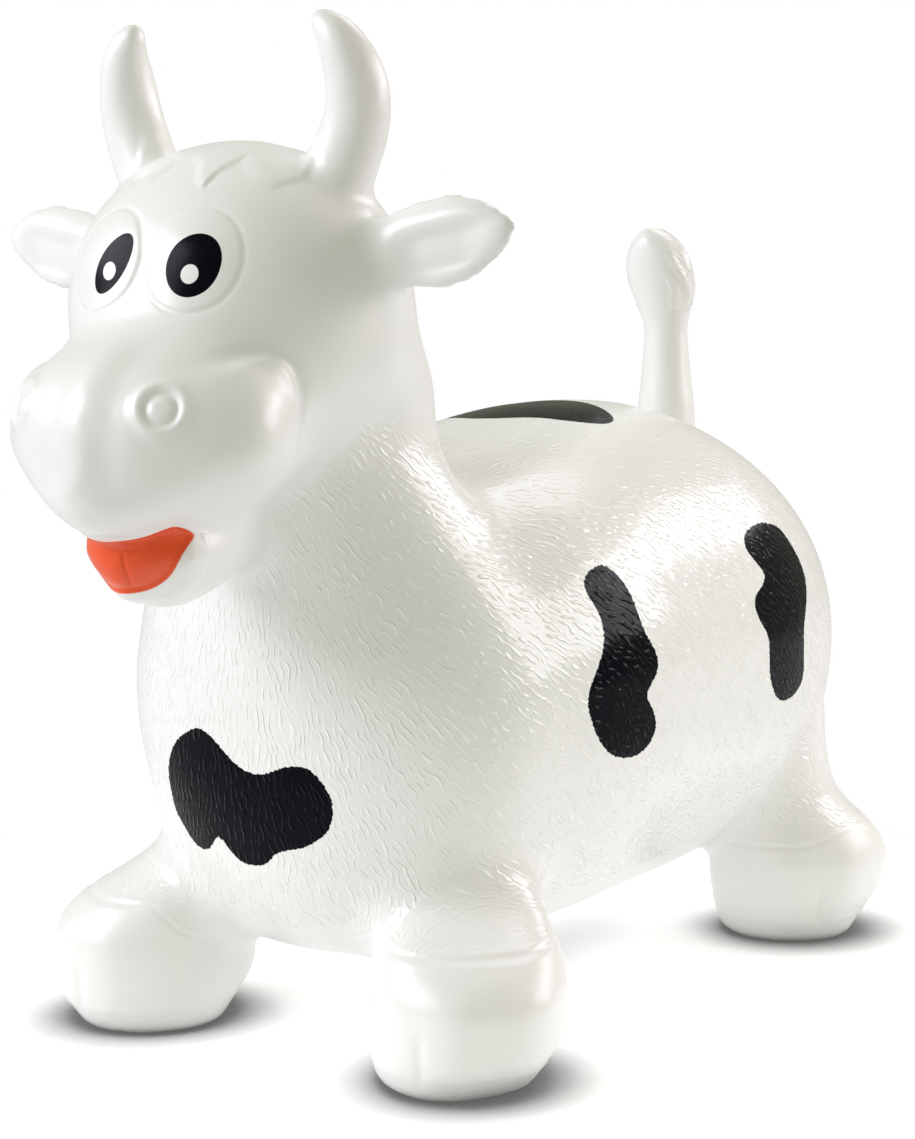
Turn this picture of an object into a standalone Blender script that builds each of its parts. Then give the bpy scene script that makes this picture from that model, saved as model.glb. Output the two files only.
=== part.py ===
"""Bouncy ride-on cow: an inflated, one-piece moulded vinyl animal with a push-in air plug.

The skin is drawn as the forms that it swells into: torso, neck, head, muzzle, jaw, horns, ears, legs,
hooves and tail. Each smaller form is cut where a larger one begins. The animal faces -Y, its left side
is +X, and the floor is z = 0. Lengths are metres.
"""

import math

import bmesh
import bpy
from mathutils import Matrix, Vector
from mathutils.bvhtree import BVHTree

X_AXIS = Vector((1, 0, 0))
Y_AXIS = Vector((0, 1, 0))
Z_AXIS = Vector((0, 0, 1))

# Shared by all forms
OVERALL_LENGTH = 0.558  # from the muzzle to the rump, most of it the torso's
MUZZLE_AHEAD = 0.124  # of the front of the torso
GAP = 0.0003  # between the faces of two forms that meet
OVERRUN = 0.004  # how far a cutter runs past the face that it cuts

# Torso: a barrel that lies along Y
TORSO_LENGTH = OVERALL_LENGTH - MUZZLE_AHEAD
TORSO_WIDTH = 0.262
TORSO_HEIGHT = 0.268
BELLY_CLEARANCE = 0.032
# along the length, rise of the axis, half width, half height above and below the axis
TORSO_SHARES = (
    (0.000, -0.04, 0.14, 0.14, 0.14),
    (0.018, -0.04, 0.42, 0.38, 0.46),
    (0.075, -0.02, 0.74, 0.68, 0.76),
    (0.180, 0.00, 0.93, 0.86, 0.93),
    (0.330, 0.00, 1.00, 0.97, 1.00),
    (0.520, 0.00, 1.00, 1.00, 1.00),
    (0.700, 0.00, 0.98, 0.98, 0.98),
    (0.850, 0.00, 0.86, 0.80, 0.92),
    (0.945, -0.05, 0.63, 0.58, 0.70),
    (0.988, -0.08, 0.36, 0.34, 0.40),
    (1.000, -0.09, 0.12, 0.12, 0.13),
)

# Neck and chest: a column that stands in the front of the torso and leans forward to the head
NECK_HEIGHT = 0.326
NECK_WIDTH = 0.236
NECK_DEPTH = 0.164
NECK_SETBACK = 0.070  # of its axis, behind the front of the torso
NECK_FOOT = 0.012  # above the belly
# up the height, lean forward, half width, half depth
NECK_SHARES = (
    (0.00, 0.04, 0.56, 0.50),
    (0.10, 0.02, 0.76, 0.80),
    (0.22, 0.00, 0.95, 0.94),
    (0.38, 0.00, 1.03, 1.00),
    (0.54, 0.16, 0.89, 0.91),
    (0.66, 0.42, 0.71, 0.81),
    (0.77, 0.74, 0.58, 0.73),
    (0.88, 0.90, 0.57, 0.70),
    (0.96, 1.00, 0.52, 0.60),
    (1.00, 1.00, 0.34, 0.40),
)

# Head: the skull behind the eyes
HEAD_WIDTH = 0.168
HEAD_HEIGHT = 0.150
HEAD_LENGTH = 0.150
HEAD_AHEAD = 0.022  # of its middle, in front of the top of the neck
HEAD_DROP = 0.013  # of its middle, under the top of the neck
# forward along the length, rise, half width, half height above and below
HEAD_SHARES = (
    (-0.50, -0.02, 0.14, 0.14, 0.14),
    (-0.47, 0.00, 0.38, 0.40, 0.30),
    (-0.35, 0.00, 0.70, 0.75, 0.54),
    (-0.12, 0.00, 0.95, 0.97, 0.84),
    (0.10, 0.00, 0.98, 0.98, 1.00),
    (0.30, 0.00, 0.82, 0.80, 0.88),
    (0.44, -0.02, 0.52, 0.50, 0.60),
    (0.50, -0.04, 0.16, 0.16, 0.20),
)

# Muzzle: a broad, blunt snout under the eyes
MUZZLE_WIDTH = 0.138
MUZZLE_HEIGHT = 0.094
MUZZLE_LENGTH = 0.128
MUZZLE_ROOT = 0.008  # of its back, behind the middle of the head
MUZZLE_DROP = 0.056  # of its axis, under the middle of the head
# forward along the length, rise, half width, half height above and below, squareness below
MUZZLE_SHARES = (
    (0.00, 0.10, 0.40, 0.60, 0.50, 2.20),
    (0.14, 0.10, 0.64, 0.90, 0.72, 2.20),
    (0.34, 0.07, 0.87, 1.06, 0.88, 2.10),
    (0.60, 0.02, 1.02, 1.02, 0.95, 1.70),
    (0.76, 0.00, 0.92, 0.94, 0.93, 1.50),
    (0.88, 0.00, 0.66, 0.80, 0.84, 1.60),
    (0.96, 0.00, 0.38, 0.60, 0.68, 1.80),
    (1.00, 0.00, 0.15, 0.36, 0.42, 2.00),
)

# Lower jaw: a small scoop that hangs open under the muzzle
JAW_WIDTH = 0.072
JAW_HEIGHT = 0.054
JAW_LENGTH = 0.098
JAW_ROOT = 0.006  # of its back, in front of the back of the muzzle
JAW_DROP = 0.049  # of its axis, under the axis of the muzzle
# forward along the length, rise, half width, half height above and below
JAW_SHARES = (
    (0.00, 0.10, 0.45, 0.60, 0.55),
    (0.26, 0.06, 0.70, 0.90, 0.84),
    (0.56, 0.00, 0.92, 1.00, 1.00),
    (0.80, 0.00, 0.88, 0.90, 0.86),
    (0.94, 0.00, 0.56, 0.62, 0.60),
    (1.00, 0.00, 0.20, 0.20, 0.20),
)

# Tongue: a domed red oval that fills the open mouth, set in the front of the jaw
TONGUE_WIDTH = 0.060
TONGUE_HEIGHT = 0.044
TONGUE_DEPTH = 0.034
TONGUE_RISE = 0.0024
TONGUE_LIFT = 0.002  # above the axis of the jaw

# Nostrils: a raised ring with a button in it, on each side of the nose
NOSTRIL_SPACING = 0.078
NOSTRIL_LIFT = 0.018  # above the axis of the muzzle
NOSTRIL_WIDTH = 0.027
NOSTRIL_RISE = 0.0022
NOSTRIL_RIM = 0.0052
NOSTRIL_BUTTON_WIDTH = 0.0125

# Eyes: domed ovals that stand a little proud of the face
EYE_SPACING = 0.050
EYE_LIFT = 0.023  # above the middle of the head
EYE_WIDTH = 0.047
EYE_HEIGHT = 0.047
EYE_DEPTH = 0.024
EYE_RISE = 0.005

# Forelock: a thin cap of hair between the horns, whose front edge comes down in points
HAIR_RISE = 0.0028
HAIR_WIDTH = 0.104
HAIR_DROP = 0.022  # of its lowest points, under the crown
# out from the middle as a share of the half width, down from the crown as a share of the drop
HAIR_EDGE_SHARES = (
    (0.00, 0.42),
    (0.14, 0.50),
    (0.28, 0.86),
    (0.37, 1.00),
    (0.42, 0.66),
    (0.47, 0.40),
    (0.60, 0.60),
    (0.74, 0.86),
    (0.88, 1.00),
    (1.00, 0.84),
)

# Horns: they rise outward and turn in at the tip
HORN_SPACING = 0.101
HORN_REACH = 0.018
HORN_HEIGHT = 0.086
HORN_THICKNESS = 0.032
HORN_LEAN = 0.012
HORN_BEHIND = 0.001  # the middle of the head
HORN_LIFT = 0.044  # of the root, above the middle of the head
# out along the reach, up the height, forward along the lean, half thickness
HORN_SHARES = (
    (-0.20, 0.00, 0.00, 1.10),
    (0.42, 0.24, 0.00, 0.98),
    (0.84, 0.46, 0.02, 0.94),
    (0.90, 0.66, 0.24, 0.86),
    (0.68, 0.84, 0.66, 0.66),
    (0.28, 0.95, 0.92, 0.40),
    (0.07, 1.00, 1.00, 0.14),
)

# Ears: hollowed leaves that point out sideways
EAR_LENGTH = 0.089
EAR_RISE = 0.016
EAR_WIDTH = 0.044
EAR_THICKNESS = 0.020
EAR_SEAT = 0.024  # of the root, inside the side of the head
EAR_LIFT = 0.019  # of the root, above the middle of the head
EAR_HOLLOW_LENGTH = 0.058
EAR_HOLLOW_WIDTH = 0.026
EAR_HOLLOW_DEPTH = 0.004
EAR_HOLLOW_SHARE = 0.56
# out along the length, rise, half width, half thickness
EAR_SHARES = (
    (0.00, -0.10, 0.46, 0.80),
    (0.16, 0.00, 0.56, 0.95),
    (0.36, 0.26, 0.82, 1.00),
    (0.56, 0.56, 0.93, 0.92),
    (0.76, 0.80, 0.76, 0.72),
    (0.92, 0.94, 0.44, 0.46),
    (1.00, 1.00, 0.10, 0.16),
)

# Legs and hooves: stubs that splay outward to a rounded hoof with a flat sole
HOOF_LENGTH = 0.102
HOOF_WIDTH = 0.092
HOOF_HEIGHT = 0.064
LEG_HEIGHT = 0.110
CUFF_STEP = 0.0012  # how far the hoof stands out past the leg where they meet
FRONT_TRACK = 0.195
FRONT_SETBACK = 0.030  # of the front hooves, behind the front of the torso
FRONT_SPLAY = 0.080
HOOF_TUCK = 0.005  # of the sole, inward from the widest part of the hoof
REAR_TRACK = 0.206
REAR_SETBACK = 0.087  # of the rear hooves, in front of the rear of the torso
REAR_SPLAY = 0.035
FRONT_SPLAY_DEGREES = 42
REAR_SPLAY_DEGREES = 128
FRONT_TOE_DEGREES = 7
REAR_TOE_DEGREES = 45
CLEFT_WIDTH = 0.006
CLEFT_DEPTH = 0.003
CLEFT_HEIGHT = 0.040
CLEFT_TUCK_SHARE = 0.3
# up the height, share of the splay and of the tuck, half length, half width
FRONT_HOOF_SHARES = (
    (0.00, -0.02, 1.00, 0.66, 0.66),
    (0.06, -0.01, 0.90, 0.81, 0.81),
    (0.22, 0.00, 0.62, 0.94, 0.94),
    (0.46, 0.00, 0.22, 0.99, 0.99),
    (0.70, 0.00, 0.00, 0.98, 0.99),
    (0.88, 0.06, 0.00, 0.93, 0.96),
    (1.00, 0.14, 0.00, 0.86, 0.93),
)
REAR_HOOF_SHARES = (
    (0.00, -0.02, 1.00, 0.66, 0.66),
    (0.06, -0.01, 0.90, 0.77, 0.77),
    (0.22, 0.00, 0.62, 0.87, 0.87),
    (0.46, 0.00, 0.22, 0.94, 0.94),
    (0.70, 0.00, 0.00, 0.97, 0.98),
    (0.88, 0.06, 0.00, 0.93, 0.96),
    (1.00, 0.14, 0.00, 0.86, 0.93),
)
LEG_SHARES = (
    (0.00, 0.14, 0.00, 0.86, 0.93),
    (0.16, 0.44, 0.00, 0.76, 0.90),
    (0.36, 0.72, 0.00, 0.82, 0.98),
    (0.66, 0.90, 0.00, 0.90, 1.02),
    (0.90, 0.96, 0.00, 0.70, 0.80),
    (1.00, 1.00, 0.00, 0.30, 0.34),
)

# Tail: a tapering shank that stands up from the rump, and a leaf-shaped tuft that bends forward
TAIL_SETBACK = 0.056  # in front of the rear of the torso
TAIL_SEAT = 0.038  # of its foot, under the top of the torso
TAIL_SHANK_HEIGHT = 0.078
TAIL_TUFT_HEIGHT = 0.054
TAIL_BEND = 0.014
TAIL_BASE_WIDTH = 0.031
TAIL_NECK_WIDTH = 0.023
TAIL_TUFT_WIDTH = 0.040
TAIL_TUFT_DEPTH = 0.032
# up the height, half thickness from the neck's to the base's
SHANK_SHARES = (
    (0.00, 1.30),
    (0.36, 1.00),
    (0.60, 0.50),
    (0.82, 0.16),
    (1.00, 0.00),
)
# up the height, forward along the bend, thickness from the neck's to the tuft's
TUFT_SHARES = (
    (0.00, 0.00, 0.00),
    (0.24, 0.12, 0.52),
    (0.48, 0.36, 1.00),
    (0.72, 0.66, 0.80),
    (0.90, 0.90, 0.00),
    (1.00, 1.00, -1.00),
)

# Air valve: a plug pushed up into a bore in the belly
VALVE_SETBACK = 0.200  # behind the front of the torso
VALVE_POCKET_WIDTH = 0.026
VALVE_POCKET_DEPTH = 0.006
VALVE_BORE_WIDTH = 0.0090
VALVE_BORE_DEPTH = 0.020
PLUG_CLEARANCE = 0.0003
PLUG_HEAD_WIDTH = 0.019
PLUG_HEAD_THICKNESS = 0.0032
PLUG_SHANK_LENGTH = 0.017
PLUG_BARB_DEPTH = 0.0008
PLUG_BARB_HEIGHT = 0.0034
PLUG_TIP_WIDTH = 0.0050

# Places, which follow from the sizes
TORSO_REAR_Y = OVERALL_LENGTH / 2
TORSO_FRONT_Y = TORSO_REAR_Y - TORSO_LENGTH
TORSO_AXIS_Z = BELLY_CLEARANCE + TORSO_HEIGHT / 2
TORSO_TOP_Z = BELLY_CLEARANCE + TORSO_HEIGHT
MUZZLE_BACK_Y = MUZZLE_LENGTH - OVERALL_LENGTH / 2
HEAD_MIDDLE_Y = MUZZLE_BACK_Y - MUZZLE_ROOT
NECK_AXIS_Y = TORSO_FRONT_Y + NECK_SETBACK
NECK_LEAN = NECK_AXIS_Y - HEAD_MIDDLE_Y - HEAD_AHEAD
NECK_BASE_Z = BELLY_CLEARANCE + NECK_FOOT
HEAD_MIDDLE_Z = NECK_BASE_Z + NECK_HEIGHT - HEAD_DROP
MUZZLE_AXIS_Z = HEAD_MIDDLE_Z - MUZZLE_DROP
JAW_AXIS_Z = MUZZLE_AXIS_Z - JAW_DROP

WHITE_VINYL = (0.86, 0.86, 0.84)
BLACK_PAINT = (0.012, 0.014, 0.028)
RED_PAINT = (0.78, 0.10, 0.03)
PLUG_WHITE = (0.80, 0.80, 0.78)
VINYL_ROUGHNESS = 0.22
PLUG_ROUGHNESS = 0.4
SHARP_ANGLE = math.radians(50)


def smooth(rows, steps):
    """The rows read off a smooth curve through them, as one row for each step from first to last."""
    table = []
    last = len(rows) - 1
    for step in range(steps + 1):
        place = last * step / steps
        i = min(int(place), last - 1)
        t = place - i
        before = rows[max(i - 1, 0)]
        after = rows[min(i + 2, last)]
        row = []
        for p, a, b, n in zip(before, rows[i], rows[i + 1], after):
            square = (2 * p - 5 * a + 4 * b - n) * t * t
            cube = (3 * a - p - 3 * b + n) * t * t * t
            row.append(a + ((b - p) * t + square + cube) / 2)
        table.append(row)
    return table


def as_object(name, bm):
    """The mesh as an object of the scene, its faces turned outward and smooth."""
    bmesh.ops.recalc_face_normals(bm, faces=bm.faces)
    mesh = bpy.data.meshes.new(name)
    bm.to_mesh(mesh)
    bm.free()
    mesh.shade_smooth()
    mesh.set_sharp_from_angle(angle=SHARP_ANGLE)
    made = bpy.data.objects.new(name, mesh)
    bpy.context.scene.collection.objects.link(made)
    return made


def ring(bm, sides, centre, side, up, halves, squareness, capped):
    """A closed loop of edges round centre: an oval, squarer than an ellipse where squareness is over 2."""
    half_side, half_up, half_down = halves
    above, below = squareness
    made = bmesh.ops.create_circle(bm, cap_ends=capped, segments=sides, radius=1)
    for vert in made["verts"]:
        across, over = vert.co.x, vert.co.y
        power = 2 / (above if over > 0 else below)
        across = math.copysign(abs(across) ** power, across) * half_side
        over = math.copysign(abs(over) ** power, over)
        over = over * (half_up if over > 0 else half_down)
        vert.co = centre + side * across + up * over
    edges = set()
    for vert in made["verts"]:
        edges.update(vert.link_edges)
    return list(edges)


def loft(name, rows, sides, across, facing=None, squareness=2.0, grow=0.0):
    """A closed form through rings. A row is centre x, y, z, half side, half up, half down.

    A seventh value is the squareness below the centre. Rings stand square to the line of their centres,
    or to facing where it is given. across is the direction of their side, and grow makes the form that much
    fatter, as a cutter needs.
    """
    bm = bmesh.new()
    centres = [Vector(row[:3]) for row in rows]
    last = len(rows) - 1
    loops = []
    for i, row in enumerate(rows):
        along = facing or (centres[min(i + 1, last)] - centres[max(i - 1, 0)]).normalized()
        up = along.cross(across).normalized()
        side = up.cross(along)
        centre = centres[i]
        if i == 0:
            centre = centre - along * grow
        if i == last:
            centre = centre + along * grow
        halves = [half + grow for half in row[3:6]]
        square = (squareness, row[6] if len(row) > 6 else squareness)
        loops.append(ring(bm, sides, centre, side, up, halves, square, i in (0, last)))
    for lower, upper in zip(loops, loops[1:]):
        bmesh.ops.bridge_loops(bm, edges=lower + upper)
    return as_object(name, bm)


def ball(name, size, place, turn=None, sides=16):
    """An ellipsoid of the given size, turned and then placed."""
    bm = bmesh.new()
    bmesh.ops.create_uvsphere(bm, u_segments=sides, v_segments=sides // 2 + 2, radius=1)
    bmesh.ops.scale(bm, vec=Vector(size) / 2, verts=bm.verts)
    if turn:
        bmesh.ops.rotate(bm, cent=(0, 0, 0), matrix=turn, verts=bm.verts)
    bmesh.ops.translate(bm, vec=place, verts=bm.verts)
    return as_object(name, bm)


def turned(name, profile, sides):
    """A solid of revolution about Z, from its radii and heights listed from one pole to the other."""
    bm = bmesh.new()
    verts = [bm.verts.new((radius, 0, height)) for radius, height in profile]
    edges = [bm.edges.new(pair) for pair in zip(verts, verts[1:])]
    bmesh.ops.spin(
        bm,
        geom=verts + edges,
        axis=Z_AXIS,
        cent=(0, 0, 0),
        dvec=(0, 0, 0),
        angle=math.tau,
        steps=sides,
        use_merge=True,
        use_duplicate=False,
    )
    bmesh.ops.remove_doubles(bm, verts=bm.verts, dist=GAP / 10)
    return as_object(name, bm)


def seat_on(form, x, z):
    """The place on the front of the form at x and z, and which way its surface faces there."""
    corners = [vert.co for vert in form.data.vertices]
    faces = [list(face.vertices) for face in form.data.polygons]
    ahead = Vector((x, TORSO_FRONT_Y - TORSO_LENGTH, z))
    place, normal, _, _ = BVHTree.FromPolygons(corners, faces).ray_cast(ahead, Y_AXIS)
    return place, normal


def facing(normal):
    """The turn that brings +Z to the normal and keeps +Y as near upward as it can."""
    up = (Z_AXIS - normal * normal.z).normalized()
    return Matrix((up.cross(normal), up, normal)).transposed()


def material(name, colour, roughness):
    made = bpy.data.materials.new(name)
    made.use_nodes = True
    shader = made.node_tree.nodes["Principled BSDF"]
    shader.inputs["Base Color"].default_value = (*colour, 1)
    shader.inputs["Roughness"].default_value = roughness
    shader.inputs["Metallic"].default_value = 0
    return made


def helper(piece):
    """Keeps a cutter, or a form that joins another, out of the model."""
    piece.hide_render = True
    piece.display_type = "WIRE"
    return piece


def combine(piece, operation, *others):
    for other in others:
        modifier = piece.modifiers.new(other.name, "BOOLEAN")
        modifier.operation = operation
        modifier.solver = "EXACT"
        modifier.object = other


def torso_form(name, grow=0.0):
    rows = []
    for along, rise, width, above, below in TORSO_SHARES:
        centre = (0, TORSO_FRONT_Y + TORSO_LENGTH * along, TORSO_AXIS_Z + TORSO_HEIGHT * rise)
        half = TORSO_HEIGHT / 2
        rows.append((*centre, TORSO_WIDTH / 2 * width, half * below, half * above))
    return loft(name, smooth(rows, 18), 28, X_AXIS, Y_AXIS, squareness=2.1, grow=grow)


def neck_form(name, grow=0.0):
    rows = []
    for rise, lean, width, depth in NECK_SHARES:
        centre = (0, NECK_AXIS_Y - NECK_LEAN * lean, NECK_BASE_Z + NECK_HEIGHT * rise)
        half = NECK_DEPTH / 2 * depth
        rows.append((*centre, NECK_WIDTH / 2 * width, half, half))
    return loft(name, smooth(rows, 16), 24, X_AXIS, Z_AXIS, grow=grow)


def head_form(name, grow=0.0):
    rows = []
    for forward, rise, width, above, below in HEAD_SHARES:
        centre = (0, HEAD_MIDDLE_Y - HEAD_LENGTH * forward, HEAD_MIDDLE_Z + HEAD_HEIGHT * rise)
        half = HEAD_HEIGHT / 2
        rows.append((*centre, HEAD_WIDTH / 2 * width, half * above, half * below))
    return loft(name, smooth(rows, 12), 24, X_AXIS, -Y_AXIS, squareness=2.1, grow=grow)


def muzzle_form(name, grow=0.0):
    rows = []
    for forward, rise, width, above, below, square in MUZZLE_SHARES:
        centre = (0, MUZZLE_BACK_Y - MUZZLE_LENGTH * forward, MUZZLE_AXIS_Z + MUZZLE_HEIGHT * rise)
        half = MUZZLE_HEIGHT / 2
        rows.append((*centre, MUZZLE_WIDTH / 2 * width, half * above, half * below, square))
    return loft(name, smooth(rows, 12), 24, X_AXIS, -Y_AXIS, squareness=2.2, grow=grow)


def jaw_form(name, grow=0.0):
    rows = []
    back_y = MUZZLE_BACK_Y - JAW_ROOT
    for forward, rise, width, above, below in JAW_SHARES:
        centre = (0, back_y - JAW_LENGTH * forward, JAW_AXIS_Z + JAW_HEIGHT * rise)
        half = JAW_HEIGHT / 2
        rows.append((*centre, JAW_WIDTH / 2 * width, half * above, half * below))
    return loft(name, smooth(rows, 8), 18, X_AXIS, -Y_AXIS, grow=grow)


def horn_form(name, hand, grow=0.0):
    rows = []
    for out, up, lean, thick in HORN_SHARES:
        x = hand * (HORN_SPACING / 2 + HORN_REACH * out)
        y = HEAD_MIDDLE_Y + HORN_BEHIND - HORN_LEAN * lean
        half = HORN_THICKNESS / 2 * thick
        rows.append((x, y, HEAD_MIDDLE_Z + HORN_LIFT + HORN_HEIGHT * up, half, half, half))
    return loft(name, smooth(rows, 10), 14, Y_AXIS, grow=grow)


def ear_point(hand, share, rise):
    x = HEAD_WIDTH / 2 - EAR_SEAT + EAR_LENGTH * share
    return Vector((hand * x, HEAD_MIDDLE_Y, HEAD_MIDDLE_Z + EAR_LIFT + EAR_RISE * rise))


def ear_form(name, hand):
    rows = []
    for out, rise, width, thick in EAR_SHARES:
        half = EAR_THICKNESS / 2 * thick
        rows.append((*ear_point(hand, out, rise), EAR_WIDTH / 2 * width, half, half))
    return loft(name, smooth(rows, 10), 16, Z_AXIS)


def ear_hollow(name, hand):
    """The ball that presses the shallow cup into the front of an ear."""
    size = (EAR_HOLLOW_LENGTH, EAR_THICKNESS, EAR_HOLLOW_WIDTH)
    place = ear_point(hand, EAR_HOLLOW_SHARE, EAR_HOLLOW_SHARE)
    place.y -= EAR_THICKNESS - EAR_HOLLOW_DEPTH
    tilt = Matrix.Rotation(-hand * math.atan2(EAR_RISE, EAR_LENGTH), 3, "Y")
    return ball(name, size, place, tilt, sides=14)


def stub(name, hoof, splay, table, base_z, height, trim, steps):
    """One stretch of a leg, in level rings that step outward along the splay towards the floor."""
    hand, x, y, degrees = hoof
    turn = math.radians(degrees)
    outward = Vector((hand * math.sin(turn), -math.cos(turn), 0))
    rows = []
    for rise, inward, tuck, length, width in table:
        middle = Vector((hand * (x - HOOF_TUCK * tuck), y, base_z + height * rise))
        centre = middle - outward * splay * inward
        half_length = HOOF_LENGTH / 2 * length - trim
        rows.append((*centre, HOOF_WIDTH / 2 * width - trim, half_length, half_length))
    across = outward.cross(Z_AXIS)
    return loft(name, smooth(rows, steps), 20, across, Z_AXIS, squareness=2.1)


def hoof_form(name, hoof, splay, table):
    return stub(name, hoof, splay, table, 0.0, HOOF_HEIGHT - GAP, 0.0, 8)


def leg_form(name, hoof, splay):
    return stub(name, hoof, splay, LEG_SHARES, HOOF_HEIGHT, LEG_HEIGHT, CUFF_STEP, 7)


def cleft(name, hoof, toe_degrees):
    """The ball that presses the groove into the toe of a hoof."""
    hand, x, y, _ = hoof
    turn = math.radians(toe_degrees)
    toe = Vector((hand * math.sin(turn), -math.cos(turn), 0))
    middle = Vector((hand * (x - HOOF_TUCK * CLEFT_TUCK_SHARE), y, HOOF_HEIGHT / 2))
    place = middle + toe * (HOOF_WIDTH / 2)
    size = (CLEFT_WIDTH, CLEFT_DEPTH * 2, CLEFT_HEIGHT)
    return ball(name, size, place, Matrix.Rotation(hand * turn, 3, "Z"), sides=10)


def tail_y():
    return TORSO_REAR_Y - TAIL_SETBACK


def tail_shank_form(name):
    rows = []
    for rise, swell in SHANK_SHARES:
        half = (TAIL_NECK_WIDTH + (TAIL_BASE_WIDTH - TAIL_NECK_WIDTH) * swell) / 2
        z = TORSO_TOP_Z - TAIL_SEAT + TAIL_SHANK_HEIGHT * rise
        rows.append((0, tail_y(), z, half, half, half))
    return loft(name, smooth(rows, 5), 14, X_AXIS, Z_AXIS)


def tail_tuft_form(name):
    rows = []
    base_z = TORSO_TOP_Z - TAIL_SEAT + TAIL_SHANK_HEIGHT + GAP
    for rise, bend, swell in TUFT_SHARES:
        half_width = (TAIL_NECK_WIDTH + (TAIL_TUFT_WIDTH - TAIL_NECK_WIDTH) * swell) / 2
        half_depth = (TAIL_NECK_WIDTH + (TAIL_TUFT_DEPTH - TAIL_NECK_WIDTH) * swell) / 2
        centre = (0, tail_y() - TAIL_BEND * bend, base_z + TAIL_TUFT_HEIGHT * rise)
        rows.append((*centre, half_width, half_depth, half_depth))
    return loft(name, smooth(rows, 8), 14, X_AXIS, Z_AXIS)


def forelock_outline(name):
    """A slab whose lower edge is the front edge of the hair, seen from the front."""
    crown_z = HEAD_MIDDLE_Z + HEAD_HEIGHT / 2
    half = HAIR_WIDTH / 2
    edge = [(half * out, crown_z - HAIR_DROP * down) for out, down in HAIR_EDGE_SHARES]
    line = [(-x, z) for x, z in reversed(edge[1:])] + edge
    line = [(-half, crown_z + OVERRUN)] + line + [(half, crown_z + OVERRUN)]
    bm = bmesh.new()
    verts = [bm.verts.new((x, HEAD_MIDDLE_Y, z)) for x, z in line]
    face = bm.faces.new(verts)
    made = bmesh.ops.extrude_face_region(bm, geom=[face])
    moved = [item for item in made["geom"] if isinstance(item, bmesh.types.BMVert)]
    bmesh.ops.translate(bm, vec=-Y_AXIS * HEAD_LENGTH, verts=moved)
    return as_object(name, bm)


def add_nostril(muzzle, word, hand):
    """Joins a raised ring with a button in its middle to the muzzle."""
    place, normal = seat_on(muzzle, hand * NOSTRIL_SPACING / 2, MUZZLE_AXIS_Z + NOSTRIL_LIFT)
    outer = NOSTRIL_WIDTH / 2
    inner = outer - NOSTRIL_RIM
    middle = outer - NOSTRIL_RIM / 2
    button = NOSTRIL_BUTTON_WIDTH / 2
    floor = NOSTRIL_RISE / 4
    root = -NOSTRIL_WIDTH / 3
    profile = [(0, root), (outer, root), (outer, floor), (middle, NOSTRIL_RISE), (inner, floor)]
    profile += [(button, floor), (button / 2, NOSTRIL_RISE), (0, NOSTRIL_RISE)]
    nostril = helper(turned(word + "_nostril", profile, 14))
    matrix = Matrix.Translation(place) @ facing(normal).to_4x4()
    nostril.data.transform(matrix)
    combine(muzzle, "UNION", nostril)


def dome_on(name, form, x, z, size, rise):
    """A ball sunk in the front of the form, so that it stands out by rise."""
    place, normal = seat_on(form, x, z)
    return ball(name, size, place - normal * (size[2] / 2 - rise), facing(normal), sides=18)


def eye_form(name, hand, head):
    size = (EYE_WIDTH, EYE_HEIGHT, EYE_DEPTH)
    return dome_on(name, head, hand * EYE_SPACING / 2, HEAD_MIDDLE_Z + EYE_LIFT, size, EYE_RISE)


def tongue_form(name, jaw):
    size = (TONGUE_WIDTH, TONGUE_HEIGHT, TONGUE_DEPTH)
    return dome_on(name, jaw, 0.0, JAW_AXIS_Z + TONGUE_LIFT, size, TONGUE_RISE)


def add_valve(torso, paint):
    """Cuts the pocket and bore in the belly, and makes the plug that closes them."""
    y = TORSO_FRONT_Y + VALVE_SETBACK
    land_z = BELLY_CLEARANCE + VALVE_POCKET_DEPTH
    pocket = VALVE_POCKET_WIDTH / 2
    bore = VALVE_BORE_WIDTH / 2
    bore_top = land_z + VALVE_BORE_DEPTH
    bottom = BELLY_CLEARANCE - OVERRUN
    profile = [(0, bottom), (pocket, bottom), (pocket, land_z)]
    profile += [(bore, land_z), (bore, bore_top), (0, bore_top)]
    cutter = helper(turned("valve_cutter", profile, 20))
    cutter.data.transform(Matrix.Translation((0, y, 0)))
    combine(torso, "DIFFERENCE", cutter)

    head = PLUG_HEAD_WIDTH / 2
    barb = bore - PLUG_CLEARANCE
    shank = barb - PLUG_BARB_DEPTH
    top = land_z - PLUG_CLEARANCE
    profile = [(0, top - PLUG_HEAD_THICKNESS), (head - PLUG_CLEARANCE, top - PLUG_HEAD_THICKNESS)]
    profile += [(head, top - PLUG_HEAD_THICKNESS + PLUG_CLEARANCE), (head, top), (shank, top)]
    tip_z = top + PLUG_SHANK_LENGTH
    for count in (2, 1):
        barb_z = tip_z - PLUG_BARB_HEIGHT * count
        profile += [(shank, barb_z), (barb, barb_z)]
    profile += [(PLUG_TIP_WIDTH / 2, tip_z), (0, tip_z)]
    plug = turned("valve_plug", profile, 20)
    plug.data.materials.append(paint)
    plug.data.transform(Matrix.Translation((0, 0, -top)))
    plug.location = (0, y, top)


def add_leg(word, end, hoof, splay, toe_degrees, table, vinyl, cutters):
    foot = hoof_form(f"{end}_{word}_hoof", hoof, splay, table)
    combine(foot, "DIFFERENCE", helper(cleft(f"{end}_{word}_cleft", hoof, toe_degrees)))
    leg = leg_form(f"{end}_{word}_leg", hoof, splay)
    for piece in (foot, leg):
        combine(piece, "DIFFERENCE", *cutters)
        piece.data.materials.append(vinyl)


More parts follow.
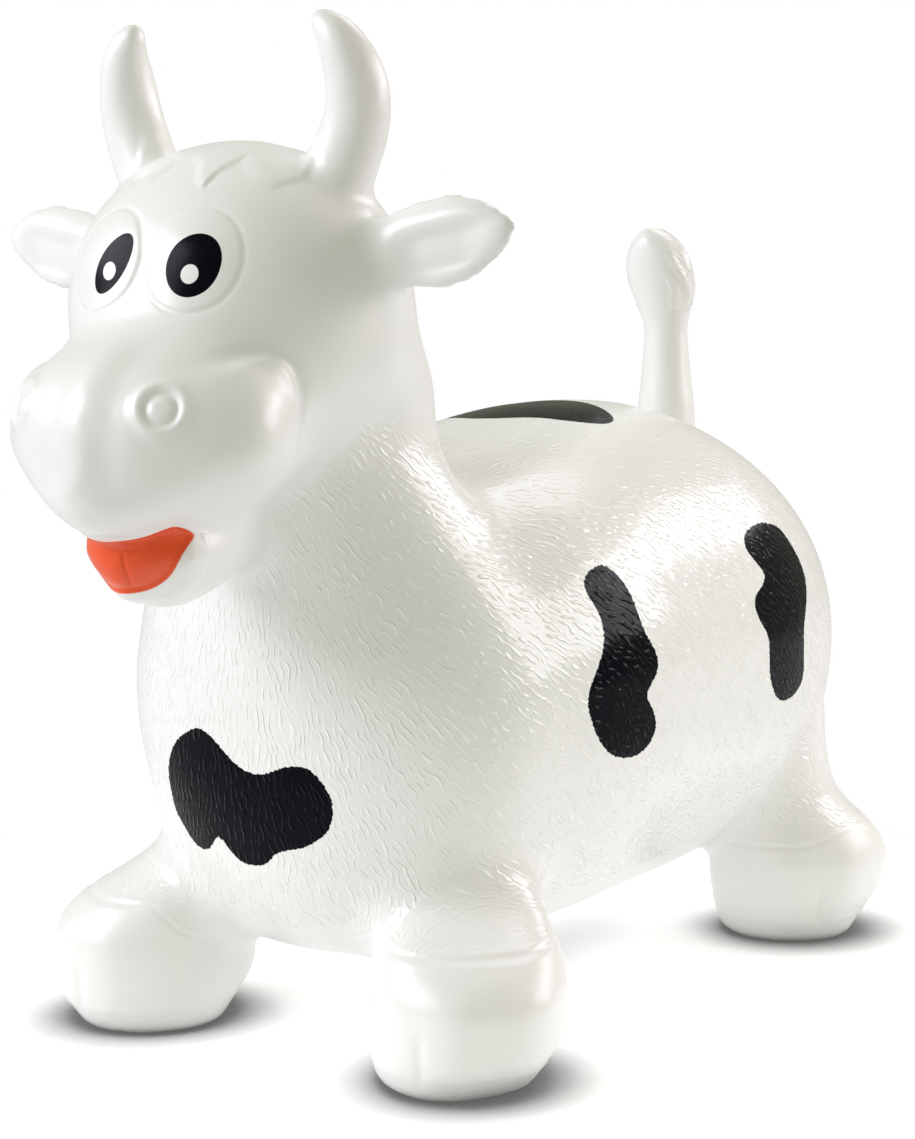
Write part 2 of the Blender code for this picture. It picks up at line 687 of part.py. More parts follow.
def main():
    for old in list(bpy.data.objects):
        bpy.data.objects.remove(old)
    vinyl = material("white_vinyl", WHITE_VINYL, VINYL_ROUGHNESS)
    black = material("black_paint", BLACK_PAINT, VINYL_ROUGHNESS)
    red = material("red_paint", RED_PAINT, VINYL_ROUGHNESS)
    plug_white = material("plug_white", PLUG_WHITE, PLUG_ROUGHNESS)

    torso_cutter = helper(torso_form("torso_cutter", GAP))
    neck_cutter = helper(neck_form("neck_cutter", GAP))
    head_cutter = helper(head_form("head_cutter", GAP))
    muzzle_cutter = helper(muzzle_form("muzzle_cutter", GAP))

    torso = torso_form("torso")
    add_valve(torso, plug_white)
    neck = neck_form("neck")
    combine(neck, "DIFFERENCE", torso_cutter)
    head = head_form("head")
    combine(head, "DIFFERENCE", neck_cutter)
    muzzle = muzzle_form("muzzle")
    combine(muzzle, "DIFFERENCE", head_cutter, neck_cutter)
    jaw = jaw_form("lower_jaw")
    combine(jaw, "DIFFERENCE", muzzle_cutter, head_cutter, neck_cutter)
    tongue = tongue_form("tongue", jaw)
    combine(tongue, "DIFFERENCE", muzzle_cutter, helper(jaw_form("jaw_cutter", GAP)))
    tongue.data.materials.append(red)
    forelock = head_form("forelock", HAIR_RISE)
    combine(forelock, "INTERSECT", helper(forelock_outline("forelock_outline")))
    combine(forelock, "DIFFERENCE", head_cutter)
    shank = tail_shank_form("tail_shank")
    combine(shank, "DIFFERENCE", torso_cutter)
    tuft = tail_tuft_form("tail_tuft")
    for piece in (torso, neck, head, muzzle, jaw, forelock, shank, tuft):
        piece.data.materials.append(vinyl)

    for hand, word in ((1, "left"), (-1, "right")):
        add_nostril(muzzle, word, hand)
        horn = horn_form(word + "_horn", hand)
        combine(horn, "DIFFERENCE", head_cutter)
        combine(forelock, "DIFFERENCE", helper(horn_form(word + "_horn_cutter", hand, GAP)))
        ear = ear_form(word + "_ear", hand)
        combine(ear, "DIFFERENCE", head_cutter, helper(ear_hollow(word + "_ear_hollow", hand)))
        for piece in (horn, ear):
            piece.data.materials.append(vinyl)
        eye = eye_form(word + "_eye", hand, head)
        combine(eye, "DIFFERENCE", head_cutter, muzzle_cutter)
        eye.data.materials.append(black)
        front = (hand, FRONT_TRACK / 2, TORSO_FRONT_Y + FRONT_SETBACK, FRONT_SPLAY_DEGREES)
        rear = (hand, REAR_TRACK / 2, TORSO_REAR_Y - REAR_SETBACK, REAR_SPLAY_DEGREES)
        cutters = (torso_cutter, neck_cutter)
        add_leg(word, "front", front, FRONT_SPLAY, FRONT_TOE_DEGREES, FRONT_HOOF_SHARES, vinyl, cutters)
        add_leg(word, "rear", rear, REAR_SPLAY, REAR_TOE_DEGREES, REAR_HOOF_SHARES, vinyl, cutters)


main()
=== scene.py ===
"""The looks of the bouncy ride-on cow: one glossy inflated vinyl skin, its paint, four hooves and the plug.

The skin is swollen from the same forms as the solids, drawn finer, joined and smoothed where they meet.
The animal faces -Y, its left side is +X, and the floor is z = 0. Lengths are metres.
"""

import math

import bmesh
import bpy
import numpy as np
from mathutils import Matrix, Vector
from mathutils.bvhtree import BVHTree


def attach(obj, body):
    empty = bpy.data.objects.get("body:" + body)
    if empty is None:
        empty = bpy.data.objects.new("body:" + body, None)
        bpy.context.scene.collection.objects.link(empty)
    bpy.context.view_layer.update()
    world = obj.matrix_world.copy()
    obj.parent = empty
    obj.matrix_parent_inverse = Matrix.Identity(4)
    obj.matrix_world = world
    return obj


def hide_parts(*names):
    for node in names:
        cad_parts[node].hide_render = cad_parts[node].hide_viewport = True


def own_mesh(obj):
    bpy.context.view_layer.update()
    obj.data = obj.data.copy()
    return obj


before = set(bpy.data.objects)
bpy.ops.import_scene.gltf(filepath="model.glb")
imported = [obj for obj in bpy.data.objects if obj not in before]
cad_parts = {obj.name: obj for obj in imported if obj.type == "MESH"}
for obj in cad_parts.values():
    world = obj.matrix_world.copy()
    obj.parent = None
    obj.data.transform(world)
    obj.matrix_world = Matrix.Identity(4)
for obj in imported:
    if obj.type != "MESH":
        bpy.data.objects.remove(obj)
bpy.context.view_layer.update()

X_AXIS = Vector((1, 0, 0))
Y_AXIS = Vector((0, 1, 0))
Z_AXIS = Vector((0, 0, 1))
MM = 0.001

# The forms, with the sizes that the solids have
OVERALL_LENGTH = 0.558
MUZZLE_AHEAD = 0.124
TORSO_LENGTH = OVERALL_LENGTH - MUZZLE_AHEAD
TORSO_WIDTH = 0.262
TORSO_HEIGHT = 0.268
BELLY_CLEARANCE = 0.032
# along the length, rise of the axis, half width, half height above and below the axis
TORSO_SHARES = (
    (0.000, -0.04, 0.14, 0.14, 0.14),
    (0.018, -0.04, 0.42, 0.38, 0.46),
    (0.075, -0.02, 0.74, 0.68, 0.76),
    (0.180, 0.00, 0.93, 0.86, 0.93),
    (0.330, 0.00, 1.00, 0.97, 1.00),
    (0.520, 0.00, 1.00, 1.00, 1.00),
    (0.700, 0.00, 0.98, 0.98, 0.98),
    (0.850, 0.00, 0.86, 0.80, 0.92),
    (0.945, -0.05, 0.63, 0.58, 0.70),
    (0.988, -0.08, 0.36, 0.34, 0.40),
    (1.000, -0.09, 0.12, 0.12, 0.13),
)
NECK_HEIGHT = 0.326
NECK_WIDTH = 0.236
NECK_DEPTH = 0.164
NECK_SETBACK = 0.070
NECK_FOOT = 0.012
# up the height, lean forward, half width, half depth
NECK_SHARES = (
    (0.00, 0.04, 0.56, 0.50),
    (0.10, 0.02, 0.76, 0.80),
    (0.22, 0.00, 0.95, 0.94),
    (0.38, 0.00, 1.03, 1.00),
    (0.54, 0.16, 0.89, 0.91),
    (0.66, 0.42, 0.71, 0.81),
    (0.77, 0.74, 0.58, 0.73),
    (0.88, 0.90, 0.57, 0.70),
    (0.96, 1.00, 0.52, 0.60),
    (1.00, 1.00, 0.34, 0.40),
)
HEAD_WIDTH = 0.168
HEAD_HEIGHT = 0.150
HEAD_LENGTH = 0.150
HEAD_AHEAD = 0.022
HEAD_DROP = 0.013
# forward along the length, rise, half width, half height above and below
HEAD_SHARES = (
    (-0.50, -0.02, 0.14, 0.14, 0.14),
    (-0.47, 0.00, 0.38, 0.40, 0.30),
    (-0.35, 0.00, 0.70, 0.75, 0.54),
    (-0.12, 0.00, 0.95, 0.97, 0.84),
    (0.10, 0.00, 0.98, 0.98, 1.00),
    (0.30, 0.00, 0.82, 0.80, 0.88),
    (0.44, -0.02, 0.52, 0.50, 0.60),
    (0.50, -0.04, 0.16, 0.16, 0.20),
)
MUZZLE_WIDTH = 0.138
MUZZLE_HEIGHT = 0.094
MUZZLE_LENGTH = 0.128
MUZZLE_ROOT = 0.008
MUZZLE_DROP = 0.056
# forward along the length, rise, half width, half height above and below, squareness below
MUZZLE_SHARES = (
    (0.00, 0.10, 0.40, 0.60, 0.50, 2.20),
    (0.14, 0.10, 0.64, 0.90, 0.72, 2.20),
    (0.34, 0.07, 0.87, 1.06, 0.88, 2.10),
    (0.60, 0.02, 1.02, 1.02, 0.95, 1.70),
    (0.76, 0.00, 0.92, 0.94, 0.93, 1.50),
    (0.88, 0.00, 0.66, 0.80, 0.84, 1.60),
    (0.96, 0.00, 0.38, 0.60, 0.68, 1.80),
    (1.00, 0.00, 0.15, 0.36, 0.42, 2.00),
)
JAW_WIDTH = 0.072
JAW_HEIGHT = 0.054
JAW_LENGTH = 0.098
JAW_ROOT = 0.006
JAW_DROP = 0.049
JAW_SQUARENESS_BELOW = 1.45
# forward along the length, rise, half width, half height above and below
JAW_SHARES = (
    (0.00, 0.10, 0.45, 0.60, 0.55),
    (0.26, 0.06, 0.70, 0.90, 0.84),
    (0.56, 0.00, 0.92, 1.00, 1.00),
    (0.80, 0.00, 0.88, 0.90, 0.86),
    (0.94, 0.00, 0.56, 0.62, 0.60),
    (1.00, 0.00, 0.20, 0.20, 0.20),
)
HORN_SPACING = 0.101
HORN_REACH = 0.018
HORN_HEIGHT = 0.086
HORN_THICKNESS = 0.032
HORN_LEAN = 0.012
HORN_BEHIND = 0.001
HORN_LIFT = 0.044
# out along the reach, up the height, forward along the lean, half thickness
HORN_SHARES = (
    (-0.20, 0.00, 0.00, 1.10),
    (0.42, 0.24, 0.00, 0.98),
    (0.84, 0.46, 0.02, 0.94),
    (0.90, 0.66, 0.24, 0.86),
    (0.68, 0.84, 0.66, 0.66),
    (0.28, 0.95, 0.92, 0.40),
    (0.07, 1.00, 1.00, 0.14),
)
EAR_LENGTH = 0.089
EAR_RISE = 0.016
EAR_WIDTH = 0.044
EAR_THICKNESS = 0.020
EAR_SEAT = 0.024
EAR_LIFT = 0.019
# out along the length, rise, half width, half thickness
EAR_SHARES = (
    (0.00, 0.16, 0.66, 0.90),
    (0.16, 0.26, 0.76, 1.02),
    (0.36, 0.38, 0.88, 1.00),
    (0.56, 0.58, 0.95, 0.90),
    (0.76, 0.80, 0.80, 0.72),
    (0.92, 0.94, 0.46, 0.46),
    (1.02, 1.00, 0.04, 0.12),
)
HOOF_LENGTH = 0.102
HOOF_WIDTH = 0.092
HOOF_HEIGHT = 0.064
LEG_HEIGHT = 0.110
CUFF_STEP = 0.0012
FRONT_TRACK = 0.195
FRONT_SETBACK = 0.030
FRONT_SPLAY = 0.080
HOOF_TUCK = 0.005
REAR_TRACK = 0.206
REAR_SETBACK = 0.087
REAR_SPLAY = 0.035
FRONT_SPLAY_DEGREES = 42
REAR_SPLAY_DEGREES = 128
FRONT_TOE_DEGREES = 7
REAR_TOE_DEGREES = 45
# up the height, inward along the splay, share of the tuck, half length, half width
FRONT_HOOF_SHARES = (
    (0.00, -0.02, 0.80, 0.78, 0.78),
    (0.06, -0.01, 0.72, 0.90, 0.90),
    (0.22, 0.00, 0.50, 0.97, 0.97),
    (0.46, 0.00, 0.22, 0.99, 0.99),
    (0.70, 0.00, 0.00, 0.98, 0.99),
    (0.88, 0.06, 0.00, 0.93, 0.96),
    (1.00, 0.14, 0.00, 0.86, 0.93),
)
REAR_HOOF_SHARES = (
    (0.00, -0.02, 0.90, 0.74, 0.74),
    (0.06, -0.01, 0.80, 0.83, 0.83),
    (0.22, 0.00, 0.62, 0.89, 0.89),
    (0.46, 0.00, 0.22, 0.94, 0.94),
    (0.70, 0.00, 0.00, 0.97, 0.98),
    (0.88, 0.06, 0.00, 0.93, 0.96),
    (1.00, 0.14, 0.00, 0.86, 0.93),
)
# The leg's first two rows reach down inside the hoof, so that the two join.
LEG_SHARES = (
    (-0.10, 0.04, 0.00, 0.84, 0.90),
    (0.00, 0.14, 0.00, 0.86, 0.93),
    (0.16, 0.44, 0.00, 0.76, 0.90),
    (0.36, 0.72, 0.00, 0.82, 0.98),
    (0.66, 0.90, 0.00, 0.90, 1.02),
    (0.90, 0.96, 0.00, 0.70, 0.80),
    (1.00, 1.00, 0.00, 0.30, 0.34),
)
TAIL_SETBACK = 0.056
TAIL_SEAT = 0.038
TAIL_SHANK_HEIGHT = 0.078
TAIL_TUFT_HEIGHT = 0.057
TAIL_BEND = 0.014
TAIL_BASE_WIDTH = 0.033
TAIL_NECK_WIDTH = 0.025
TAIL_TUFT_WIDTH = 0.041
TAIL_TUFT_DEPTH = 0.034
# up the height, forward along the bend, thickness from the neck's to the base's, or in the tuft to the tuft's
SHANK_SHARES = (
    (0.00, 0.00, 1.30),
    (0.36, 0.00, 1.00),
    (0.60, 0.00, 0.50),
    (0.82, 0.00, 0.16),
    (1.00, 0.00, 0.00),
)
TUFT_SHARES = (
    (0.00, 0.00, 0.00),
    (0.24, 0.12, 0.52),
    (0.48, 0.36, 1.00),
    (0.72, 0.66, 0.80),
    (0.90, 0.90, 0.00),
    (1.00, 1.00, -1.00),
)

# Places, which follow from the sizes
TORSO_REAR_Y = OVERALL_LENGTH / 2
TORSO_FRONT_Y = TORSO_REAR_Y - TORSO_LENGTH
TORSO_AXIS_Z = BELLY_CLEARANCE + TORSO_HEIGHT / 2
TORSO_TOP_Z = BELLY_CLEARANCE + TORSO_HEIGHT
MUZZLE_BACK_Y = MUZZLE_LENGTH - OVERALL_LENGTH / 2
HEAD_MIDDLE_Y = MUZZLE_BACK_Y - MUZZLE_ROOT
NECK_AXIS_Y = TORSO_FRONT_Y + NECK_SETBACK
NECK_LEAN = NECK_AXIS_Y - HEAD_MIDDLE_Y - HEAD_AHEAD
NECK_BASE_Z = BELLY_CLEARANCE + NECK_FOOT
HEAD_MIDDLE_Z = NECK_BASE_Z + NECK_HEIGHT - HEAD_DROP
MUZZLE_AXIS_Z = HEAD_MIDDLE_Z - MUZZLE_DROP
JAW_AXIS_Z = MUZZLE_AXIS_Z - JAW_DROP
CROWN_Z = HEAD_MIDDLE_Z + HEAD_HEIGHT / 2
TAIL_Y = TORSO_REAR_Y - TAIL_SETBACK
TAIL_BASE_Z = TORSO_TOP_Z - TAIL_SEAT
TAIL_TOP_Z = TAIL_BASE_Z + TAIL_SHANK_HEIGHT

BODY_SQUARENESS = 2.1
MUZZLE_SQUARENESS = 2.2

# The skin
SKIN_STEP = 0.0031  # the spacing of its points
FINE = 2  # how many times the face is divided finer

# The painted patches, as outlines in millimetres. Chest: x and z, seen from the front.
CHEST_PATCH = (
    (-33, 159), (-44, 154), (-52, 148), (-58, 140), (-61, 132), (-61, 121), (-59, 111), (-52, 104),
    (-47, 98), (-38, 96), (-32, 99), (-29, 103), (-25, 106), (-22, 104), (-17, 98), (-11, 94), (-2, 94),
    (5, 96), (9, 101), (15, 104), (26, 106), (35, 111), (41, 116), (44, 124), (44, 132), (40, 140),
    (35, 145), (29, 147), (20, 145), (13, 142), (6, 140), (-1, 141), (-8, 144), (-14, 149), (-20, 154),
    (-26, 158),
)
# Left flank: y and z, seen from the side
LEFT_FRONT_PATCH = (
    (-33, 232), (-42, 230), (-49, 226), (-51, 221), (-48, 214), (-46, 206), (-48, 196), (-53, 188),
    (-61, 178), (-64, 170), (-61, 160), (-54, 149), (-44, 141), (-31, 138), (-20, 139), (-12, 145),
    (-10, 152), (-14, 160), (-21, 168), (-14, 173), (-8, 180), (-9, 188), (-16, 197), (-18, 206),
    (-19, 216), (-23, 225), (-28, 230),
)
LEFT_REAR_PATCH = (
    (131, 237), (116, 236), (104, 232), (101, 225), (108, 218), (114, 211), (107, 206), (97, 202),
    (94, 196), (99, 188), (106, 180), (106, 172), (106, 161), (110, 152), (120, 143), (134, 142),
    (144, 145), (152, 151), (150, 164), (151, 180), (157, 188), (163, 198), (165, 207), (161, 218),
    (154, 229), (147, 234),
)
# Right flank: y and z
RIGHT_FRONT_PATCH = (
    (-58, 214), (-70, 206), (-74, 194), (-66, 184), (-52, 178), (-44, 168), (-48, 154), (-40, 142),
    (-24, 138), (-10, 146), (-6, 160), (6, 168), (16, 180), (12, 196), (-4, 202), (-16, 212), (-30, 222),
    (-46, 222),
)
RIGHT_REAR_PATCH = (
    (98, 244), (88, 232), (92, 218), (104, 208), (108, 194), (100, 180), (104, 164), (118, 154),
    (136, 156), (146, 168), (144, 184), (154, 196), (160, 212), (150, 228), (136, 238), (116, 246),
)
# Back: x and y, seen from above
BACK_PATCH = (
    (-4, 35), (8, 38), (23, 49), (37, 56), (47, 66), (51, 77), (47, 89), (35, 99), (22, 106), (8, 110),
    (-8, 108), (-34, 98), (-52, 84), (-50, 64), (-30, 46), (-14, 37),
)
# Rump: x and z, seen from behind
RUMP_PATCH = (
    (-34, 206), (-48, 196), (-54, 180), (-44, 168), (-30, 160), (-26, 146), (-12, 140), (2, 148),
    (8, 162), (4, 176), (10, 190), (0, 204), (-16, 212),
)
# Pupils: middle, then the two half axes, as x and z in millimetres. Then the glint and its radius.
PUPILS = (
    ((27.9, 376.9), (4.6, 12.9), (11.8, -4.4), (27.4, 373.2), 4.2),
    ((-16.4, 378.0), (6.8, 13.0), (8.3, -2.3), (-17.8, 374.8), 4.0),
)

# The camera, which follows the photograph
CAMERA_AZIMUTH = math.radians(35.0)
CAMERA_ELEVATION = math.radians(7.1)
CAMERA_ROLL = math.radians(-0.65)
CAMERA_DISTANCE = 1.319
CAMERA_TARGET = Vector((0, 0.017, 0.233))
CAMERA_ACROSS = -0.005
CAMERA_UP = -0.016
PHOTO_HEIGHT = 1139
FOCAL_PIXELS = 2527
SENSOR = 36


def smooth(rows, steps):
    """The rows read off a smooth curve through them, as one row for each step from first to last."""
    table = []
    last = len(rows) - 1
    for step in range(steps + 1):
        place = last * step / steps
        i = min(int(place), last - 1)
        t = place - i
        before = rows[max(i - 1, 0)]
        after = rows[min(i + 2, last)]
        row = []
        for p, a, b, n in zip(before, rows[i], rows[i + 1], after):
            square = (2 * p - 5 * a + 4 * b - n) * t * t
            cube = (3 * a - p - 3 * b + n) * t * t * t
            row.append(a + ((b - p) * t + square + cube) / 2)
        table.append(row)
    return table


def edges_of(verts):
    return list({edge for vert in verts for edge in vert.link_edges})


def ring(bm, sides, centre, side, up, halves, squareness, capped):
    """A closed loop of edges round centre: an oval, squarer than an ellipse where squareness is over 2."""
    half_side, half_up, half_down = halves
    above, below = squareness
    made = bmesh.ops.create_circle(bm, cap_ends=capped, segments=sides, radius=1)
    for vert in made["verts"]:
        across, over = vert.co.x, vert.co.y
        power = 2 / (above if over > 0 else below)
        across = math.copysign(abs(across) ** power, across) * half_side
        over = math.copysign(abs(over) ** power, over)
        over = over * (half_up if over > 0 else half_down)
        vert.co = centre + side * across + up * over
    return edges_of(made["verts"])


def loft(rows, sides, across, facing=None, squareness=2.0):
    """A closed form through rings. A row is centre x, y, z, half side, half up, half down."""
    bm = bmesh.new()
    centres = [Vector(row[:3]) for row in rows]
    last = len(rows) - 1
    loops = []
    for i, row in enumerate(rows):
        along = facing or (centres[min(i + 1, last)] - centres[max(i - 1, 0)]).normalized()
        up = along.cross(across).normalized()
        side = up.cross(along)
        square = (squareness, row[6] if len(row) > 6 else squareness)
        capped = i in (0, last)
        loops.append(ring(bm, sides, centres[i], side, up, row[3:6], square, capped))
    for lower, upper in zip(loops, loops[1:]):
        bmesh.ops.bridge_loops(bm, edges=lower + upper)
    bmesh.ops.recalc_face_normals(bm, faces=bm.faces)
    return mesh_from(bm, "form")


def mesh_from(bm, name):
    mesh = bpy.data.meshes.new(name)
    bm.to_mesh(mesh)
    bm.free()
    return mesh


def placed(name, data):
    """An object for the data, put in the scene."""
    made = bpy.data.objects.new(name, data)
    bpy.context.scene.collection.objects.link(made)
    return made


def torso_form():
    rows = []
    for along, rise, width, above, below in TORSO_SHARES:
        centre = (0, TORSO_FRONT_Y + TORSO_LENGTH * along, TORSO_AXIS_Z + TORSO_HEIGHT * rise)
        half = TORSO_HEIGHT / 2
        rows.append((*centre, TORSO_WIDTH / 2 * width, half * below, half * above))
    return loft(smooth(rows, 100), 120, X_AXIS, Y_AXIS, squareness=BODY_SQUARENESS)


def neck_form():
    rows = []
    for rise, lean, width, depth in NECK_SHARES:
        centre = (0, NECK_AXIS_Y - NECK_LEAN * lean, NECK_BASE_Z + NECK_HEIGHT * rise)
        half = NECK_DEPTH / 2 * depth
        rows.append((*centre, NECK_WIDTH / 2 * width, half, half))
    return loft(smooth(rows, 90), 110, X_AXIS, Z_AXIS)


def forward_form(table, back_y, axis_z, size, steps, sides, squareness, square_below=()):
    """A form that runs forward from back_y. Size is its length, width and height."""
    length, width, height = size
    rows = []
    for forward, rise, wide, above, below, *square in table:
        centre = (0, back_y - length * forward, axis_z + height * rise)
        halves = (width / 2 * wide, height / 2 * above, height / 2 * below)
        rows.append((*centre, *halves, *(square or square_below)))
    return loft(smooth(rows, steps), sides, X_AXIS, -Y_AXIS, squareness)


def horn_form(hand):
    rows = []
    for out, up, lean, thick in HORN_SHARES:
        x = hand * (HORN_SPACING / 2 + HORN_REACH * out)
        y = HEAD_MIDDLE_Y + HORN_BEHIND - HORN_LEAN * lean
        half = HORN_THICKNESS / 2 * thick
        rows.append((x, y, HEAD_MIDDLE_Z + HORN_LIFT + HORN_HEIGHT * up, half, half, half))
    return loft(smooth(rows, 50), 48, Y_AXIS)


def ear_point(hand, share, rise):
    x = HEAD_WIDTH / 2 - EAR_SEAT + EAR_LENGTH * share
    return Vector((hand * x, HEAD_MIDDLE_Y, HEAD_MIDDLE_Z + EAR_LIFT + EAR_RISE * rise))


def ear_form(hand):
    rows = []
    for out, rise, width, thick in EAR_SHARES:
        half = EAR_THICKNESS / 2 * thick
        rows.append((*ear_point(hand, out, rise), EAR_WIDTH / 2 * width, half, half))
    return loft(smooth(rows, 50), 56, Z_AXIS)


def stub(hoof, splay, table, base_z, height, trim, steps):
    """One stretch of a leg, in level rings that step outward along the splay towards the floor."""
    hand, x, y, degrees = hoof
    turn = math.radians(degrees)
    outward = Vector((hand * math.sin(turn), -math.cos(turn), 0))
    rows = []
    for rise, inward, tuck, length, width in table:
        middle = Vector((hand * (x - HOOF_TUCK * tuck), y, base_z + height * rise))
        centre = middle - outward * splay * inward
        half_length = HOOF_LENGTH / 2 * length - trim
        rows.append((*centre, HOOF_WIDTH / 2 * width - trim, half_length, half_length))
    across = outward.cross(Z_AXIS)
    return loft(smooth(rows, steps), 72, across, Z_AXIS, squareness=BODY_SQUARENESS)


def tail_form(table, base_z, height, width, depth, steps):
    rows = []
    for rise, bend, swell in table:
        half_width = (TAIL_NECK_WIDTH + (width - TAIL_NECK_WIDTH) * swell) / 2
        half_depth = (TAIL_NECK_WIDTH + (depth - TAIL_NECK_WIDTH) * swell) / 2
        centre = (0, TAIL_Y - TAIL_BEND * bend, base_z + height * rise)
        rows.append((*centre, half_width, half_depth, half_depth))
    return loft(smooth(rows, steps), 48, X_AXIS, Z_AXIS)


def joined(name, meshes):
    """One object that holds all the meshes."""
    bm = bmesh.new()
    for mesh in meshes:
        bm.from_mesh(mesh)
    return placed(name, mesh_from(bm, name))


def applied(obj):
    """The object with its modifiers made part of its mesh."""
    bpy.context.view_layer.update()
    graph = bpy.context.evaluated_depsgraph_get()
    mesh = bpy.data.meshes.new_from_object(obj.evaluated_get(graph))
    obj.modifiers.clear()
    old = obj.data
    obj.data = mesh
    bpy.data.meshes.remove(old)
    return obj


def swollen(obj, step):
    """One closed skin round everything in the object, with its points step apart."""
    remesh = obj.modifiers.new("skin", "REMESH")
    remesh.mode = "VOXEL"
    remesh.voxel_size = step
    remesh.adaptivity = 0
    return applied(obj)


def soften(obj, times, weights=None):
    """Relaxes the skin so many times, where weights is over zero."""
    relax = obj.modifiers.new("soften", "SMOOTH")
    relax.factor = 0.5
    relax.iterations = times
    if weights is not None:
        group = obj.vertex_groups.new(name="soften")
        for level in range(1, 21):
            members = np.flatnonzero(np.round(weights * 20) == level)
            group.add(members.tolist(), level / 20, "REPLACE")
        relax.vertex_group = group.name
    applied(obj)
    obj.vertex_groups.clear()


def vectors_of(items, name):
    values = np.empty(len(items) * 3)
    items.foreach_get(name, values)
    return values.reshape(-1, 3)


def points_of(obj):
    return vectors_of(obj.data.vertices, "co")


def set_points(obj, places):
    obj.data.vertices.foreach_set("co", places.astype(np.float32).ravel())
    obj.data.update()


def normals_of(obj):
    return vectors_of(obj.data.vertices, "normal")


def distance_to(mesh, places, reach):
    """How far each place is from the surface of the mesh, up to reach."""
    corners = vectors_of(mesh.vertices, "co")
    low = corners.min(axis=0) - reach
    high = corners.max(axis=0) + reach
    near = np.flatnonzero(((places > low) & (places < high)).all(axis=1))
    tree = BVHTree.FromPolygons(corners.tolist(), [list(f.vertices) for f in mesh.polygons])
    far = np.full(len(places), reach)
    for i in near:
        found = tree.find_nearest(places[i], reach)
        if found[0] is not None:
            far[i] = found[3]
    return far


def eased(share):
    share = np.clip(share, 0, 1)
    return share * share * (3 - 2 * share)


def distance_inside(across, over, outline):
    """How far each point is inside a closed outline, in the outline's units, and negative outside."""
    corners = np.array(outline, float)
    nearest = np.full(len(across), np.inf)
    inside = np.zeros(len(across), bool)
    for (ax, ay), (bx, by) in zip(corners, np.roll(corners, -1, axis=0)):
        dx, dy = bx - ax, by - ay
        share = np.clip(((across - ax) * dx + (over - ay) * dy) / (dx * dx + dy * dy), 0, 1)
        nearest = np.minimum(nearest, np.hypot(across - ax - dx * share, over - ay - dy * share))
        crosses = (ay > over) != (by > over)
        with np.errstate(divide="ignore", invalid="ignore"):
            at = ax + (over - ay) * dx / dy
        inside ^= crosses & (across < at)
    return np.where(inside, nearest, -nearest)


def rounded(outline, times=2):
    """The outline with its corners cut off so many times."""
    points = [Vector(point) for point in outline]
    for _ in range(times):
        cut = []
        for a, b in zip(points, points[1:] + points[:1]):
            cut += [a.lerp(b, 0.25), a.lerp(b, 0.75)]
        points = cut
    return [tuple(point) for point in points]


def add_value(obj, name, values):
    attribute = obj.data.attributes.new(name, "FLOAT", "POINT")
    attribute.data.foreach_set("value", values.astype(np.float32))


def seat_on(tree, x, z):
    """The place on the front of the skin at x and z, and which way it faces there."""
    place, normal, _, _ = tree.ray_cast(Vector((x, -OVERALL_LENGTH, z)), Y_AXIS)
    return place, normal


def refine(obj, wanted):
    """Divides the faces whose middles are wanted, and rounds the new points off."""
    bm = bmesh.new()
    bm.from_mesh(obj.data)
    middles = np.array([face.calc_center_median() for face in bm.faces])
    bm.faces.ensure_lookup_table()
    faces = [bm.faces[i] for i in np.flatnonzero(wanted(*middles.T))]
    edges = {edge for face in faces for edge in face.edges}
    made = bmesh.ops.subdivide_edges(bm, edges=list(edges), cuts=1, use_grid_fill=True)
    verts = {item for item in made["geom"] if isinstance(item, bmesh.types.BMVert)}
    axes = {"use_axis_x": True, "use_axis_y": True, "use_axis_z": True}
    for _ in range(4):
        bmesh.ops.smooth_vert(bm, verts=list(verts), factor=0.5, **axes)
    bm.to_mesh(obj.data)
    bm.free()


def bump_at(distance, width):
    """One at a distance of nothing, falling smoothly to nothing at about twice the width."""
    return np.exp(-((distance / width) ** 2))


# The skin: all forms, joined and softened where they meet
front_hoof = (FRONT_TRACK / 2, TORSO_FRONT_Y + FRONT_SETBACK, FRONT_SPLAY_DEGREES)
rear_hoof = (REAR_TRACK / 2, TORSO_REAR_Y - REAR_SETBACK, REAR_SPLAY_DEGREES)
ENDS = (
    ("front", front_hoof, FRONT_SPLAY, FRONT_HOOF_SHARES, FRONT_TOE_DEGREES),
    ("rear", rear_hoof, REAR_SPLAY, REAR_HOOF_SHARES, REAR_TOE_DEGREES),
)
head_size = (HEAD_LENGTH, HEAD_WIDTH, HEAD_HEIGHT)
muzzle_size = (MUZZLE_LENGTH, MUZZLE_WIDTH, MUZZLE_HEIGHT)
jaw_size = (JAW_LENGTH, JAW_WIDTH, JAW_HEIGHT)
jaw_back_y = MUZZLE_BACK_Y - JAW_ROOT
tuft_base_z = TAIL_TOP_Z - SKIN_STEP
forms = {
    "torso": torso_form(),
    "neck": neck_form(),
    "head": forward_form(HEAD_SHARES, HEAD_MIDDLE_Y, HEAD_MIDDLE_Z, head_size, 70, 110, BODY_SQUARENESS),
    "muzzle": forward_form(
        MUZZLE_SHARES, MUZZLE_BACK_Y, MUZZLE_AXIS_Z, muzzle_size, 70, 100, MUZZLE_SQUARENESS
    ),
    "jaw": forward_form(JAW_SHARES, jaw_back_y, JAW_AXIS_Z, jaw_size, 50, 70, 2.0, (JAW_SQUARENESS_BELOW,)),
    "shank": tail_form(SHANK_SHARES, TAIL_BASE_Z, TAIL_SHANK_HEIGHT, TAIL_BASE_WIDTH, TAIL_BASE_WIDTH, 30),
    "tuft": tail_form(TUFT_SHARES, tuft_base_z, TAIL_TUFT_HEIGHT, TAIL_TUFT_WIDTH, TAIL_TUFT_DEPTH, 36),
}
